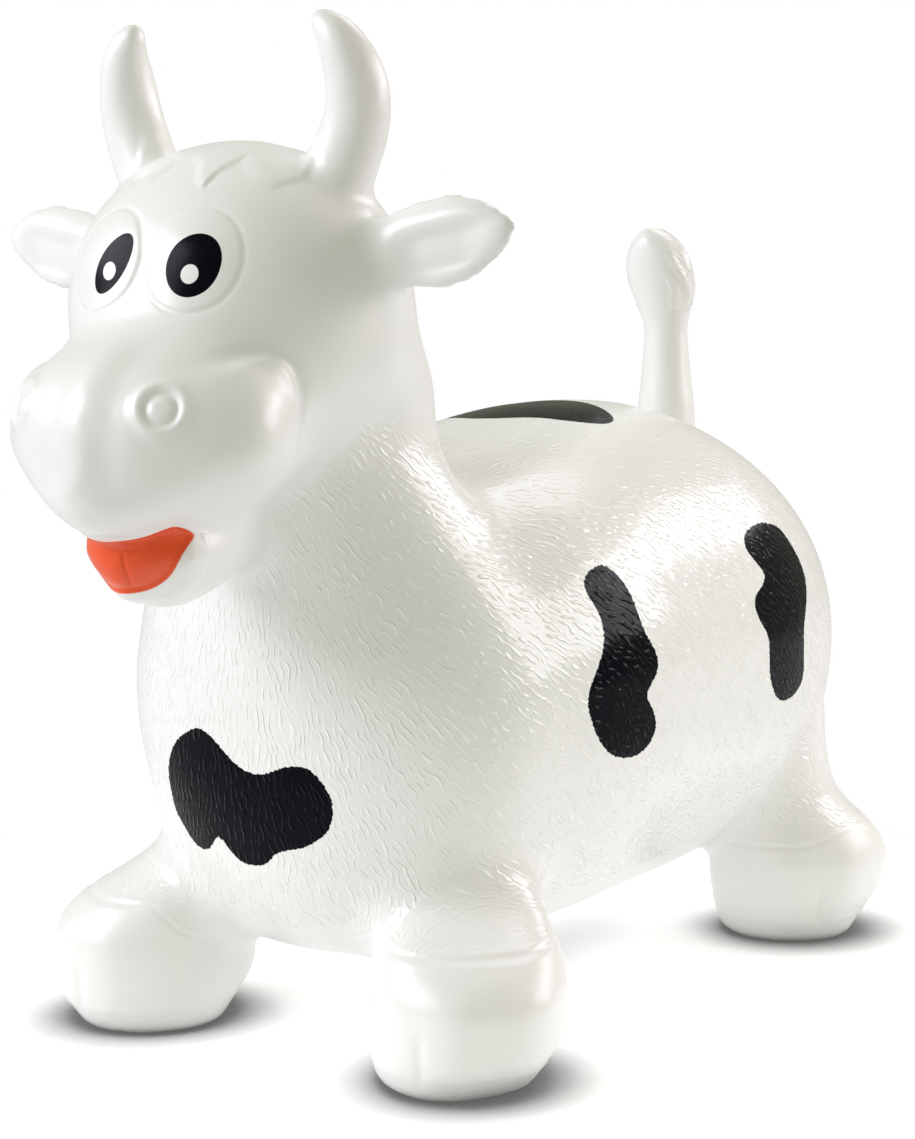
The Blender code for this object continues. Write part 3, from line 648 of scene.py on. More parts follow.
for hand, word in ((1, "left"), (-1, "right")):
    forms[word + " horn"] = horn_form(hand)
    forms[word + " ear"] = ear_form(hand)
    for end, hoof, splay, table, _ in ENDS:
        leg = stub((hand, *hoof), splay, LEG_SHARES, HOOF_HEIGHT, LEG_HEIGHT, CUFF_STEP, 60)
        forms[f"{word} {end} leg"] = leg
        forms[f"{word} {end} hoof"] = stub((hand, *hoof), splay, table, 0.0, HOOF_HEIGHT, 0.0, 60)

skin = swollen(joined("skin", forms.values()), SKIN_STEP)

# Which forms blend into each other, and how broadly
JOINS = [
    ("torso", "neck", 0.036), ("neck", "head", 0.056), ("head", "muzzle", 0.012), ("neck", "muzzle", 0.008),
    ("jaw", "muzzle", 0.006), ("jaw", "neck", 0.024), ("shank", "torso", 0.011), ("shank", "tuft", 0.007),
]
for word in ("left", "right"):
    JOINS += [(word + " horn", "head", 0.010), (word + " ear", "head", 0.010)]
    JOINS += [(word + " front leg", "torso", 0.022), (word + " front leg", "neck", 0.022)]
    JOINS += [(word + " rear leg", "torso", 0.026), (word + " front hoof", "neck", 0.010)]
    for end in ("front", "rear"):
        JOINS += [(f"{word} {end} hoof", "torso", 0.010), (f"{word} {end} leg", f"{word} {end} hoof", 0.013)]
places = points_of(skin)
reaches = {}
for a, b, reach in JOINS:
    for name in (a, b):
        reaches[name] = max(reach, reaches.get(name, 0))
away = {name: distance_to(forms[name], places, reach) for name, reach in reaches.items()}
for least, most in ((0.03, 1), (0.015, 0.03), (0, 0.015)):
    weights = np.zeros(len(places))
    broadest = 0
    for a, b, reach in JOINS:
        if least < reach <= most:
            near = eased(1.15 - away[a] / reach) * eased(1.15 - away[b] / reach)
            weights = np.maximum(weights, near)
            broadest = max(broadest, reach)
    soften(skin, int((0.34 * broadest / SKIN_STEP) ** 2 * 4) + 2, weights)
# The nose runs up between the eyes without a step
x, y, z = (places / MM).T
bridge = eased(1.5 - np.hypot(np.hypot(x / 40, (y + 245) / 60), (z - 342) / 35))
soften(skin, int((0.024 / SKIN_STEP) ** 2 * 4), bridge * (y < -190))
soften(skin, 4)
# The thin rims of the ears come out of the remesh a little stepped
x, y, z = points_of(skin).T
soften(skin, 6, eased((np.abs(x) - 0.082) / 0.010) * (z > HEAD_MIDDLE_Z - 0.03))

# Finer faces where there is small relief
FACE = (-0.165, 0.222)  # behind and below these is no small relief but the ears, the tuft and the hooves
MOUTH_MIDDLE = (0.004, -0.245, 0.250)


def beside(x, y, z, middle, radius):
    return (x - middle[0]) ** 2 + (y - middle[1]) ** 2 + (z - middle[2]) ** 2 < radius**2


tree = BVHTree.FromObject(skin, bpy.context.evaluated_depsgraph_get())
EYE_SPACING, EYE_Z, EYE_RADIUS = 0.050, HEAD_MIDDLE_Z + 0.023, 0.0235
NOSTRIL_SPACING, NOSTRIL_Z, NOSTRIL_RADIUS = 0.080, MUZZLE_AXIS_Z + 0.017, 0.0140
eyes = {hand: seat_on(tree, hand * EYE_SPACING / 2, EYE_Z) for hand in (1, -1)}
nostrils = {hand: seat_on(tree, hand * NOSTRIL_SPACING / 2, NOSTRIL_Z) for hand in (1, -1)}


def small_relief(x, y, z):
    face = (y < FACE[0]) & (z > FACE[1])
    crown = (y < HEAD_MIDDLE_Y + 0.02) & (z > HEAD_MIDDLE_Z + 0.045)
    ears = (abs(x) > HEAD_WIDTH / 2 - 0.006) & (z > HEAD_MIDDLE_Z - 0.02)
    tuft = (y > TAIL_Y - 0.05) & (z > TAIL_TOP_Z - 0.012)
    hooves = (z < HOOF_HEIGHT + 0.012) & (abs(x) > 0.052)
    return (face | crown | ears) & (z < CROWN_Z + 0.008) | tuft | hooves


def smallest_relief(x, y, z):
    found = np.zeros(len(x), bool)
    for hand in (1, -1):
        found |= beside(x, y, z, eyes[hand][0], EYE_RADIUS * 1.2)
        found |= beside(x, y, z, nostrils[hand][0], NOSTRIL_RADIUS * 1.25)
    found |= beside(x, y, z, MOUTH_MIDDLE, 0.036)
    forelock = (z > CROWN_Z - 0.028) & (z < CROWN_Z + 0.006) & (abs(x) < 0.056)
    return found | forelock & (y < HEAD_MIDDLE_Y + 0.002)


for level in range(FINE):
    refine(skin, smallest_relief if level else small_relief)

# Small relief, in millimetres outward from the skin
EYE_BULGE, EYE_STEP, EYE_GROOVE = 1.5, 0.38, 0.25
MOUTH_DEPTH, TONGUE_GROOVE = 1.5, 0.9
CHEEK_FULLNESS, CHEEK_CREASE = 2.4, 1.1
FORELOCK_LIFT, FORELOCK_GROOVE = 1.1, 0.6
EAR_RIM, EAR_HOLLOW = 0.7, 3.2
CLEFT_DEPTH = 0.9
BACK_DIP = 9.5
NAPE_FULLNESS = 5
BARE = -30.0  # stands for far outside the paint
PATCHES_TOP = 312
places = points_of(skin)
normals = normals_of(skin)
x, y, z = (places / MM).T
lift = np.zeros(len(places))
moved = np.zeros_like(places)


def around(place, normal):
    """Where each point of the skin lies round a place, seen square on: across, up, and how far off."""
    up = (Z_AXIS - normal * normal.z).normalized()
    side = up.cross(normal)
    off = places - np.array(place)
    off /= MM
    return off @ np.array(side), off @ np.array(up), np.linalg.norm(off, axis=1)


# Height against distance, in millimetres: the button in the middle, and the rim round it
NOSTRIL_BUTTON = ((0.0, 1.1), (3.0, 1.0), (4.6, 0.7), (5.8, 0.1), (7.0, -0.4), (8.2, -0.1), (9.4, 0.0))
NOSTRIL_RIM = ((7.0, 0.0), (8.4, 0.8), (9.8, 1.5), (11.2, 1.5), (12.6, 0.9), (14.2, 0.3), (16.4, 0.0))
for hand in (1, -1):
    across, over, off = around(*eyes[hand])
    share = np.hypot(across, over) / (EYE_RADIUS / MM)
    lens = EYE_BULGE * np.clip(1 - share**2, 0, 1) + EYE_STEP * eased((1.02 - share) / 0.08)
    lens -= EYE_GROOVE * bump_at(share - 1.05, 0.04)
    lift += np.where(off < 32, lens, 0)
    across, over, off = around(*nostrils[hand])
    rim = np.interp(np.hypot(across, over), *np.array(NOSTRIL_RIM).T)
    button = np.interp(np.hypot(across - 0.6 * hand, over + 0.9), *np.array(NOSTRIL_BUTTON).T)
    lift += np.where(off < 22, rim + button, 0)

# The mouth: a recess under the lip, with a tongue whose groove runs down its middle
MOUTH = (
    (-32, 265), (-24, 263), (-15, 260), (-4, 258.5), (8, 259), (18, 261), (25, 264), (30, 266), (31, 260),
    (28.5, 251.5), (24.5, 245), (19, 240.2), (12, 236.5), (4, 234.8), (-5, 234.6), (-14, 236), (-23, 240.5),
    (-31, 250),
)
in_mouth = np.minimum(distance_inside(x, z, rounded(MOUTH)), -231.5 - y)
in_mouth = np.where((y < -222) & (normals[:, 1] < 0.2), in_mouth, BARE)
lift -= MOUTH_DEPTH * eased((in_mouth + 0.4) / 1.8)
lift += 0.8 * bump_at(in_mouth + 3.0, 2.2) * (z < 262)
lift -= TONGUE_GROOVE * bump_at(x - 6.5, 0.9) * eased((in_mouth - 2) / 3) * eased((255 - z) / 3)
lift -= 0.5 * bump_at(z - 255, 0.9) * bump_at(x - 5, 7)

# The nose's soft ridge, and the dips beside it
ahead = eased(-normals[:, 1] * 1.6)
on_nose = ahead * (y < -230) * eased((z - 272) / 16) * eased((352 - z) / 20)
lift += on_nose * (1.5 * bump_at(x - 4, 9) - 0.8 * bump_at(x - 20, 7) - 0.8 * bump_at(x + 13, 7))

# The cheeks end in a crease before the neck
CHEEK = (
    (-270, 331), (-240, 333), (-224, 337), (-213, 338), (-206, 331), (-202, 319), (-202, 306), (-201, 292),
    (-206, 280), (-225, 272), (-270, 274),
)
in_cheek = distance_inside(y, z, rounded(CHEEK))
on_cheek = eased((y + 256) / 30) * eased((z - 276) / 16) * eased((np.abs(normals[:, 0]) - 0.2) / 0.3)
fullness = CHEEK_FULLNESS * eased((in_cheek + 2) / 6) - CHEEK_CREASE * bump_at(in_cheek + 3, 2.6)
lift += on_cheek * fullness * (y < -150)

# The forelock: two pointed locks that come down from a parting, and a band that runs to each horn
HAIR_WIDTH, HAIR_DROP = 104, 22
HAIR_EDGE_SHARES = (
    (0.00, 0.42), (0.14, 0.50), (0.28, 0.86), (0.37, 1.00), (0.42, 0.66), (0.47, 0.40), (0.60, 0.60),
    (0.74, 0.86), (0.88, 1.00), (1.00, 0.84),
)
crown_z = CROWN_Z / MM
edge = [(HAIR_WIDTH / 2 * out, crown_z - HAIR_DROP * down) for out, down in HAIR_EDGE_SHARES]
outline = [(-HAIR_WIDTH / 2, crown_z + 40)] + [(-a, b) for a, b in reversed(edge[1:])] + edge
outline.append((HAIR_WIDTH / 2, crown_z + 40))
in_hair = distance_inside(x, z, outline)
on_crown = eased((HEAD_MIDDLE_Y / MM + 6 - y) / 12) * (z > crown_z - 34) * (y > -260)
lift += FORELOCK_LIFT * eased((in_hair + 2.0) / 4.6) * on_crown
for hand in (1, -1):
    tip = (hand * HAIR_WIDTH / 2 * 0.375, crown_z - HAIR_DROP)
    groove = np.abs(x - tip[0] - hand * 0.25 * (z - tip[1]))
    groove = bump_at(groove, 1.3) * eased((z - tip[1] + 1) / 2) * eased((tip[1] + 12 - z) / 8)
    lift -= FORELOCK_GROOVE * groove * on_crown

# The ears: a hollow on the front under a rolled upper rim
for hand in (1, -1):
    out = (hand * x - (HEAD_WIDTH / 2 - EAR_SEAT) / MM) / (EAR_LENGTH / MM)
    axis_z = (HEAD_MIDDLE_Z + EAR_LIFT) / MM + EAR_RISE / MM * np.clip(out, 0, 1)
    over = (z - axis_z) / (EAR_WIDTH / 2 / MM)
    on_ear = (out > 0.2) & (z > 350)
    cup = eased((out - 0.30) / 0.18) * eased((0.96 - out) / 0.25)
    cup *= eased((over + 0.80) / 0.35) * eased((0.42 - over) / 0.35)
    rim = bump_at(over - 0.52, 0.16) * eased((out - 0.26) / 0.2) * eased((0.9 - out) / 0.3)
    lift += on_ear * (EAR_RIM * rim - EAR_HOLLOW * cup) * eased(-normals[:, 1] * 2)

# The hooves: two toes with a cleft between them, soft corners, and a cuff round the top
for hand in (1, -1):
    for (hoof_x, hoof_y, _), toe_degrees in ((front_hoof, FRONT_TOE_DEGREES), (rear_hoof, REAR_TOE_DEGREES)):
        off_x = hand * x - hoof_x / MM
        off_y = y - hoof_y / MM
        near = (np.hypot(off_x, off_y) < 64) & (z < 76) & (hand * x > 40)
        turn = np.degrees(np.arctan2(off_x, -off_y)) - toe_degrees
        turn = (turn + 180) % 360 - 180
        wall = eased((z - 4) / 12) * eased((58 - z) / 14)
        toes = 0.9 * (bump_at(turn - 19, 13) + bump_at(turn + 19, 13)) + 0.9 * bump_at(turn - 68, 15)
        toes -= 0.7 * bump_at(turn - 44, 13)
        cleft = bump_at(turn, 3.6) * eased((z - 8) / 8) * eased((38 - z) / 12)
        if hoof_y < 0:
            drop = 20 * eased((74 - hand * x) / 26)
        else:
            drop = 8 * eased((hoof_y / MM - 12 - y) / 30)
        cuff = z - (64.5 - drop)
        band = 0.3 * bump_at(cuff - 1.9, 0.9) - 0.4 * bump_at(cuff, 1.0) + 0.2 * bump_at(cuff + 2.6, 1.0)
        lift += near * (toes * wall - CLEFT_DEPTH * cleft + band + 0.25 * bump_at(z - 13, 1.2))
        # The wall draws in towards the sole, most at its outer side and its heel
        bearing = np.degrees(np.arctan2(off_x, -off_y))
        if hoof_y < 0:
            draw = 0.20 * bump_at(bearing - 55, 38) * eased((20 - z) / 20)
            draw += 0.28 * bump_at(np.abs(bearing) - 132, 42) * eased((30 - z) / 30)
        else:
            draw = (0.06 + 0.16 * bump_at(bearing - 125, 45)) * eased((34 - z) / 34)
        moved[:, 0] -= near * hand * off_x * draw
        moved[:, 1] -= near * off_y * draw

# The tail's tuft: slanting locks
tuft_z = TAIL_TOP_Z / MM
turn = np.arctan2(x, -(y - TAIL_Y / MM + 7))
on_tuft = (y > 180) * eased((z - tuft_z - 2) / 10)
locks = np.maximum(eased((turn - 0.55) / 0.5), eased((-1.2 - turn) / 0.4)) * on_tuft
wave = turn * 11 + z * 0.36 + 1.2 * np.sin(z * 0.23 + turn * 3)
lift += locks * 0.5 * np.sin(wave) * eased((tuft_z + 52 - z) / 12)

# The back dips towards the neck, and the neck's back is full
on_spine = eased((y + 105) / 30) * eased((z - 250) / 30) * (z < 305) * eased((90 - np.abs(x)) / 60)
moved[:, 2] -= BACK_DIP * eased((88 - y) / 105) * on_spine
backward = 0.82 * np.abs(normals[:, 0]) + 0.57 * normals[:, 1]
on_nape = eased((y + 190) / 40) * eased((-50 - y) / 20)
lift += NAPE_FULLNESS * bump_at(z - 322, 26) * eased((backward - 0.6) / 0.35) * on_nape

set_points(skin, places + (normals * lift[:, None] + moved) * MM)
places = points_of(skin) / MM
normals = normals_of(skin)

# Paint, as how many millimetres a point lies inside its edge
black = np.full(len(places), BARE)
x, y, z = places.T
for outline, across, over, facing in (
    (CHEST_PATCH, x, z, -normals[:, 1]),
    (LEFT_FRONT_PATCH, y, z, normals[:, 0]),
    (LEFT_REAR_PATCH, y, z, normals[:, 0]),
    (RIGHT_FRONT_PATCH, y, z, -normals[:, 0]),
    (RIGHT_REAR_PATCH, y, z, -normals[:, 0]),
    (BACK_PATCH, x, y, normals[:, 2]),
    (RUMP_PATCH, x, z, normals[:, 1]),
):
    inside = distance_inside(across, over, rounded(outline))
    black = np.maximum(black, np.where(facing > 0.15, inside, BARE))
black[z > PATCHES_TOP] = BARE
for middle, tall, wide, glint, radius in PUPILS:
    turn = np.linalg.inv(np.array((tall, wide)).T)
    share = np.hypot(*(turn @ np.array((x - middle[0], z - middle[1]))))
    pupil = (1 - share) * 12
    dot = radius - np.hypot(x - glint[0], z - glint[1])
    pupil = np.where((y < -205) & (z > 340), np.minimum(pupil, -dot), BARE)
    black = np.maximum(black, pupil)
add_value(skin, "black_paint", black)
add_value(skin, "red_paint", in_mouth)
# Hair lies below a line that rises from the chin to the cheek, down to the cuffs, and the nape is bare
line = 232 + (y + 240) * 0.60 + np.clip(y + 175, 0, 27)
line += 5 * np.sin(x / 6 + 1.7 * np.sin(z / 11)) * np.sin((y + 0.7 * z) / 5 + np.sin(x / 13))
hair = eased((line - z + 9) / 20) * eased((z - 64) / 4 + eased((50 - np.abs(x)) / 8))
for name, margin in (("jaw", 0.0035), ("muzzle", 0.006), ("shank", 0.003)):
    hair *= eased((distance_to(forms[name], places * MM, margin * 2) - margin) / margin)
hair *= 1 - eased((y + 145) / 12) * eased((z - 290) / 14) * eased((-85 - y) / 12)
on_back = 1 - 0.65 * eased((normals[:, 2] - 0.55) / 0.35)
on_body = (z < 300) | (y < -100) & (z < 330)
add_value(skin, "hair", np.maximum(hair * on_body * on_back, 0.8 * locks))


def without_paint(mesh, verts):
    """New points take no paint; a value left at zero would be the paint's edge."""
    for name in ("black_paint", "red_paint"):
        for vert in verts:
            vert[mesh.verts.layers.float[name]] = BARE


# The valve's pocket and bore: radius, and height over the belly's lowest level. None is on the belly itself.
VALVE_SETBACK = 0.200
POCKET_OPENING = 0.0175
POCKET_PROFILE = (
    (0.0150, None), (0.0140, None), (0.0133, 0.0004), (0.0130, 0.0010), (0.0130, 0.0056), (0.0127, 0.0060),
    (0.0052, 0.0060), (0.0046, 0.0064), (0.0045, 0.0110), (0.0045, 0.0260),
)


def moulded_pocket(obj):
    """The pocket and bore of the air valve, let into the belly."""
    middle_y = TORSO_FRONT_Y + VALVE_SETBACK
    tree = BVHTree.FromObject(obj, bpy.context.evaluated_depsgraph_get())
    bm = bmesh.new()
    bm.from_mesh(obj.data)
    doomed = []
    for face in bm.faces:
        middle = face.calc_center_median()
        if middle.z < 0.05 and math.hypot(middle.x, middle.y - middle_y) < POCKET_OPENING:
            doomed.append(face)
    bmesh.ops.delete(bm, geom=doomed, context="FACES")
    last_edges = [edge for edge in bm.edges if edge.is_boundary]
    for radius, z in POCKET_PROFILE:
        made = bmesh.ops.create_circle(bm, segments=72, radius=radius, cap_ends=False)
        without_paint(bm, made["verts"])
        for vert in made["verts"]:
            vert.co.y += middle_y
            if z is None:
                hit = tree.ray_cast(Vector((vert.co.x, vert.co.y, 0)), Z_AXIS)
                vert.co.z = hit[0].z
            else:
                vert.co.z = BELLY_CLEARANCE + z
        ring_edges = edges_of(made["verts"])
        bmesh.ops.bridge_loops(bm, edges=last_edges + ring_edges)
        last_edges = ring_edges
    bmesh.ops.holes_fill(bm, edges=last_edges, sides=0)
    bmesh.ops.recalc_face_normals(bm, faces=bm.faces)
    bm.to_mesh(obj.data)
    bm.free()


moulded_pocket(skin)
bpy.context.view_layer.update()

# The skin divided: the head, the chest with the front legs, the torso, and the four hooves
normals = normals_of(skin)
whole_normals = skin.data.attributes.new("whole_normal", "FLOAT_VECTOR", "POINT")
whole_normals.data.foreach_set("vector", normals.astype(np.float32).ravel())
NECK_CUT = (Vector((0, -0.19, 0.222)), Vector((0, -0.482, 0.876)))
CHEST_CUT = (Vector((0, -0.012, 0)), Vector((0, -1, 0)))
CUFF_CUT = (Vector((0, 0, HOOF_HEIGHT)), Vector((0, 0, -1)))


def zone_of(middle, hoof_trees, body_trees):
    """Which piece a face belongs to."""
    if (middle - NECK_CUT[0]).dot(NECK_CUT[1]) > 0 and middle.y < 0:
        return "head_skin"
    if middle.z < HOOF_HEIGHT and abs(middle.x) > 0.045:
        word = "left" if middle.x > 0 else "right"
        end = "front" if middle.y < 0.03 else "rear"
        name = f"{end}_{word}_hoof_skin"
        if middle.z < BELLY_CLEARANCE - 0.002:
            return name
        own = hoof_trees[name].find_nearest(middle)[3]
        other = min(tree.find_nearest(middle)[3] for tree in body_trees)
        if own < other:
            return name
    return "chest_skin" if middle.y < CHEST_CUT[0].y else "torso_skin"


def tree_of(mesh):
    return BVHTree.FromPolygons([v.co for v in mesh.vertices], [list(f.vertices) for f in mesh.polygons])


hoof_trees = {}
for word in ("left", "right"):
    for end in ("front", "rear"):
        hoof_trees[f"{end}_{word}_hoof_skin"] = tree_of(forms[f"{word} {end} hoof"])
body_trees = [tree_of(forms[name]) for name in ("torso", "neck")]
bm = bmesh.new()
bm.from_mesh(skin.data)
for place, normal in (NECK_CUT, CHEST_CUT, CUFF_CUT):
    everything = list(bm.verts) + list(bm.edges) + list(bm.faces)
    bmesh.ops.bisect_plane(bm, geom=everything, dist=0.00002, plane_co=place, plane_no=normal)
bm.faces.ensure_lookup_table()
zone = [zone_of(face.calc_center_median(), hoof_trees, body_trees) for face in bm.faces]


def beside_face(face):
    return [other for edge in face.edges for other in edge.link_faces if other is not face]


# A face that hangs on its piece by one edge goes to the piece beside it
waiting = list(bm.faces)
while waiting:
    face = waiting.pop()
    nearby = [zone[other.index] for other in beside_face(face)]
    own = nearby.count(zone[face.index])
    if own < 2:
        most = max(sorted(set(nearby)), key=nearby.count)
        if nearby.count(most) > own:
            zone[face.index] = most
            waiting += beside_face(face)
zones = {}
for index, name in enumerate(zone):
    zones.setdefault(name, []).append(index)


def islands(members):
    """The faces in groups that hang together by their edges, the largest last."""
    left = dict.fromkeys(members)
    groups = []
    while left:
        group = [left.popitem()[0]]
        for index in group:
            for face in beside_face(bm.faces[index]):
                if face.index in left:
                    del left[face.index]
                    group.append(face.index)
        groups.append(group)
    return sorted(groups, key=len)


# Single faces in the crease beside a hoof go to the body
for name in [name for name in zones if name.endswith("hoof_skin")]:
    *strays, zones[name] = islands(zones[name])
    beside_it = "chest_skin" if name.startswith("front") else "torso_skin"
    for stray in strays:
        zones[beside_it] += stray


def cut_out(name, kept):
    """The kept faces as their own closed piece, its shading that of the whole skin."""
    part = bm.copy()
    part.faces.ensure_lookup_table()
    kept = set(kept)
    bmesh.ops.delete(part, geom=[face for face in part.faces if face.index not in kept], context="FACES")
    for face in part.faces:
        face.smooth = True
    rims = [edge for edge in part.edges if edge.is_boundary]
    filled = bmesh.ops.holes_fill(part, edges=rims, sides=0)["faces"]
    fan = bmesh.ops.poke(part, faces=filled, center_mode="MEAN")
    without_paint(part, fan["verts"])
    for face in fan["faces"]:
        face.smooth = False
    mesh = mesh_from(part, name)
    stored = vectors_of(mesh.attributes["whole_normal"].data, "vector")
    stored /= np.linalg.norm(stored, axis=1)[:, None] + 1e-12
    owners = np.empty(len(mesh.loops), int)
    mesh.loops.foreach_get("vertex_index", owners)
    wanted = stored[owners]
    for face in mesh.polygons:
        if not face.use_smooth:
            wanted[list(face.loop_indices)] = face.normal
    mesh.normals_split_custom_set(wanted.tolist())
    mesh.attributes.remove(mesh.attributes["whole_normal"])
    return placed(name, mesh)


pieces = {name: cut_out(name, kept) for name, kept in zones.items()}
bm.free()
bpy.data.objects.remove(skin)


def set_inputs(tree, node, inputs):
    """Each input takes a value, or the output of another node."""
    for name, value in inputs.items():
        if isinstance(value, bpy.types.NodeSocket):
            tree.links.new(value, node.inputs[name])
        else:
            node.inputs[name].default_value = value


def add_node(tree, kind, inputs=None, **settings):
    node = tree.nodes.new(kind)
    for name, value in settings.items():
        setattr(node, name, value)
    set_inputs(tree, node, inputs or {})
    return node


def maths(tree, operation, *values):
    return add_node(tree, "ShaderNodeMath", dict(enumerate(values)), operation=operation).outputs[0]


def vector_maths(tree, operation, *values):
    return add_node(tree, "ShaderNodeVectorMath", dict(enumerate(values)), operation=operation).outputs[0]


def ranged(tree, value, start=(0.0, 1.0), end=(0.0, 1.0), kind="LINEAR"):
    """The value, its range at the start made the range at the end."""
    inputs = {"Value": value, "From Min": start[0], "From Max": start[1], "To Min": end[0], "To Max": end[1]}
    return add_node(tree, "ShaderNodeMapRange", inputs, interpolation_type=kind).outputs["Result"]


def mixed(tree, share, a, b):
    """The colour a, and b where the share is one."""
    node = add_node(tree, "ShaderNodeMix", {"Factor": share, "A": a, "B": b}, data_type="RGBA")
    return node.outputs["Result"]


def noise(tree, place, scale, detail=2.0):
    return add_node(tree, "ShaderNodeTexNoise", {"Vector": place, "Scale": scale, "Detail": detail}).outputs


def new_material(name):
    """A material, its node tree, its shader and the place on the object."""
    made = bpy.data.materials.new(name)
    made.use_nodes = True
    tree = made.node_tree
    place = add_node(tree, "ShaderNodeTexCoord").outputs["Object"]
    return made, tree, tree.nodes["Principled BSDF"], place


PEARL = ((0.84, 0.855, 0.825, 1), (0.88, 0.86, 0.86, 1))
# The white the hair ridges are painted towards: a painted highlight on the raised strokes
RIDGE_PAINTED_HIGHLIGHT = (0.97, 0.97, 0.94, 1)
RED_PAINT = (0.84, 0.075, 0.001, 1)
BLACK_PAINT = (0.0012, 0.0014, 0.0045, 1)
HAIR_FLOW = (0, 0.8, -0.6)
HAIR_SWAY = (0.0065, 0.0065, 0.0065)
HAIR_HEIGHT = 0.00042


def printed_vinyl():
    """Glossy white vinyl with raised hair whose ridges carry a painted highlight, and black and red paint."""
    made, tree, shader, place = new_material("printed_vinyl")
    black, red, haired = [
        add_node(tree, "ShaderNodeAttribute", attribute_name=name).outputs["Fac"]
        for name in ("black_paint", "red_paint", "hair")
    ]
    # The hair: short raised strokes that lie along the flow
    normal = add_node(tree, "ShaderNodeNewGeometry").outputs["Normal"]
    across = vector_maths(tree, "NORMALIZE", vector_maths(tree, "CROSS_PRODUCT", normal, HAIR_FLOW))
    swayed = vector_maths(tree, "MULTIPLY_ADD", noise(tree, place, 95, 1)["Color"], HAIR_SWAY, place)
    grain = {"Vector": swayed, "Scale": 175, "Frequency": 1.6, "Anisotropy": 1, 5: across}
    strokes = add_node(tree, "ShaderNodeTexGabor", grain, gabor_type="3D").outputs["Value"]
    height = maths(tree, "MULTIPLY", ranged(tree, strokes, (0.50, 0.76), kind="SMOOTHSTEP"), haired)
    bump = add_node(tree, "ShaderNodeBump", {"Strength": 1, "Distance": HAIR_HEIGHT, "Height": height})
    # The paint: the black's edge is ragged where there is hair
    teeth = ranged(tree, noise(tree, place, 700)["Fac"], end=(-1.1, 1.1))
    in_black = ranged(tree, maths(tree, "MULTIPLY_ADD", teeth, haired, black), (-0.1, 0.1))
    in_red = ranged(tree, red, (-0.15, 0.15))
    clouds = noise(tree, place, 7, 1)["Fac"]
    # The raised strokes are painted lighter along their ridges, a painted highlight where they would catch
    # the light
    white_with_painted_ridge_highlight = mixed(tree, height, mixed(tree, clouds, *PEARL), RIDGE_PAINTED_HIGHLIGHT)
    colour = mixed(tree, in_black, mixed(tree, in_red, white_with_painted_ridge_highlight, RED_PAINT), BLACK_PAINT)
    # Haired and painted places are a little glossier, and the black reflects least
    rough = maths(tree, "MULTIPLY_ADD", haired, -0.14, ranged(tree, clouds, end=(0.28, 0.36)))
    set_inputs(tree, shader, {
        "Base Color": colour,
        "Specular IOR Level": ranged(tree, in_black, end=(0.6, 0.08)),
        "Roughness": maths(tree, "MULTIPLY_ADD", in_black, -0.05, rough),
        "Normal": bump.outputs["Normal"],
    })
    return made


vinyl = printed_vinyl()


def finished(obj, material, body, nodes):
    obj.data.materials.clear()
    obj.data.materials.append(material)
    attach(obj, body)
    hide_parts(*nodes)
    return obj


HEAD_NODES = ["head", "muzzle", "lower_jaw", "tongue", "forelock"]
for word in ("left", "right"):
    HEAD_NODES += [word + "_horn", word + "_ear", word + "_eye"]
finished(pieces["head_skin"], vinyl, "body", HEAD_NODES)
finished(pieces["chest_skin"], vinyl, "body", ["neck", "front_left_leg", "front_right_leg"])
TORSO_NODES = ["torso", "tail_shank", "tail_tuft", "rear_left_leg", "rear_right_leg"]
finished(pieces["torso_skin"], vinyl, "body", TORSO_NODES)
for word in ("left", "right"):
    for end in ("front", "rear"):
        name = f"{end}_{word}"
        foot = finished(pieces[name + "_hoof_skin"], vinyl, name + "_foot", [name + "_hoof"])
        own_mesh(foot)


def plastic():
    """The plug's stiffer white plastic, a little rough."""
    made, tree, shader, place = new_material("white_plastic")
    grain = noise(tree, place, 400)["Fac"]
    bump = add_node(tree, "ShaderNodeBump", {"Strength": 0.3, "Distance": 0.0001, "Height": grain})
    set_inputs(tree, shader, {
        "Base Color": mixed(tree, grain, (0.76, 0.77, 0.76, 1), (0.82, 0.82, 0.81, 1)),
        "Roughness": ranged(tree, grain, end=(0.34, 0.46)),
        "Normal": bump.outputs["Normal"],
    })
    return made


# The air plug: a turned head with a rounded rim and a dished face, and a barbed shank above it.
# Radius and height in millimetres, from the middle of the face to the tip.
PLUG_TOP = BELLY_CLEARANCE / MM + 6 - 0.3
PLUG_PROFILE = (
    (3.0, -2.7), (5.6, -2.75), (6.4, -2.95), (7.0, -3.15), (8.2, -3.2), (8.8, -3.1), (9.25, -2.8),
    (9.45, -2.3), (9.5, -1.7), (9.5, -0.6), (9.35, -0.2), (9.0, 0.0), (4.0, 0.0), (3.5, 0.3), (3.4, 0.8),
    (3.4, 6.8), (4.1, 7.0), (4.2, 7.2), (4.15, 7.5), (3.4, 10.0), (3.4, 10.2), (4.1, 10.4), (4.2, 10.6),
    (4.15, 10.9), (3.4, 13.4), (3.4, 13.6), (4.1, 13.8), (4.2, 14.0), (4.1, 14.4), (2.9, 16.6), (2.5, 16.9),
    (2.1, 17.0),
)


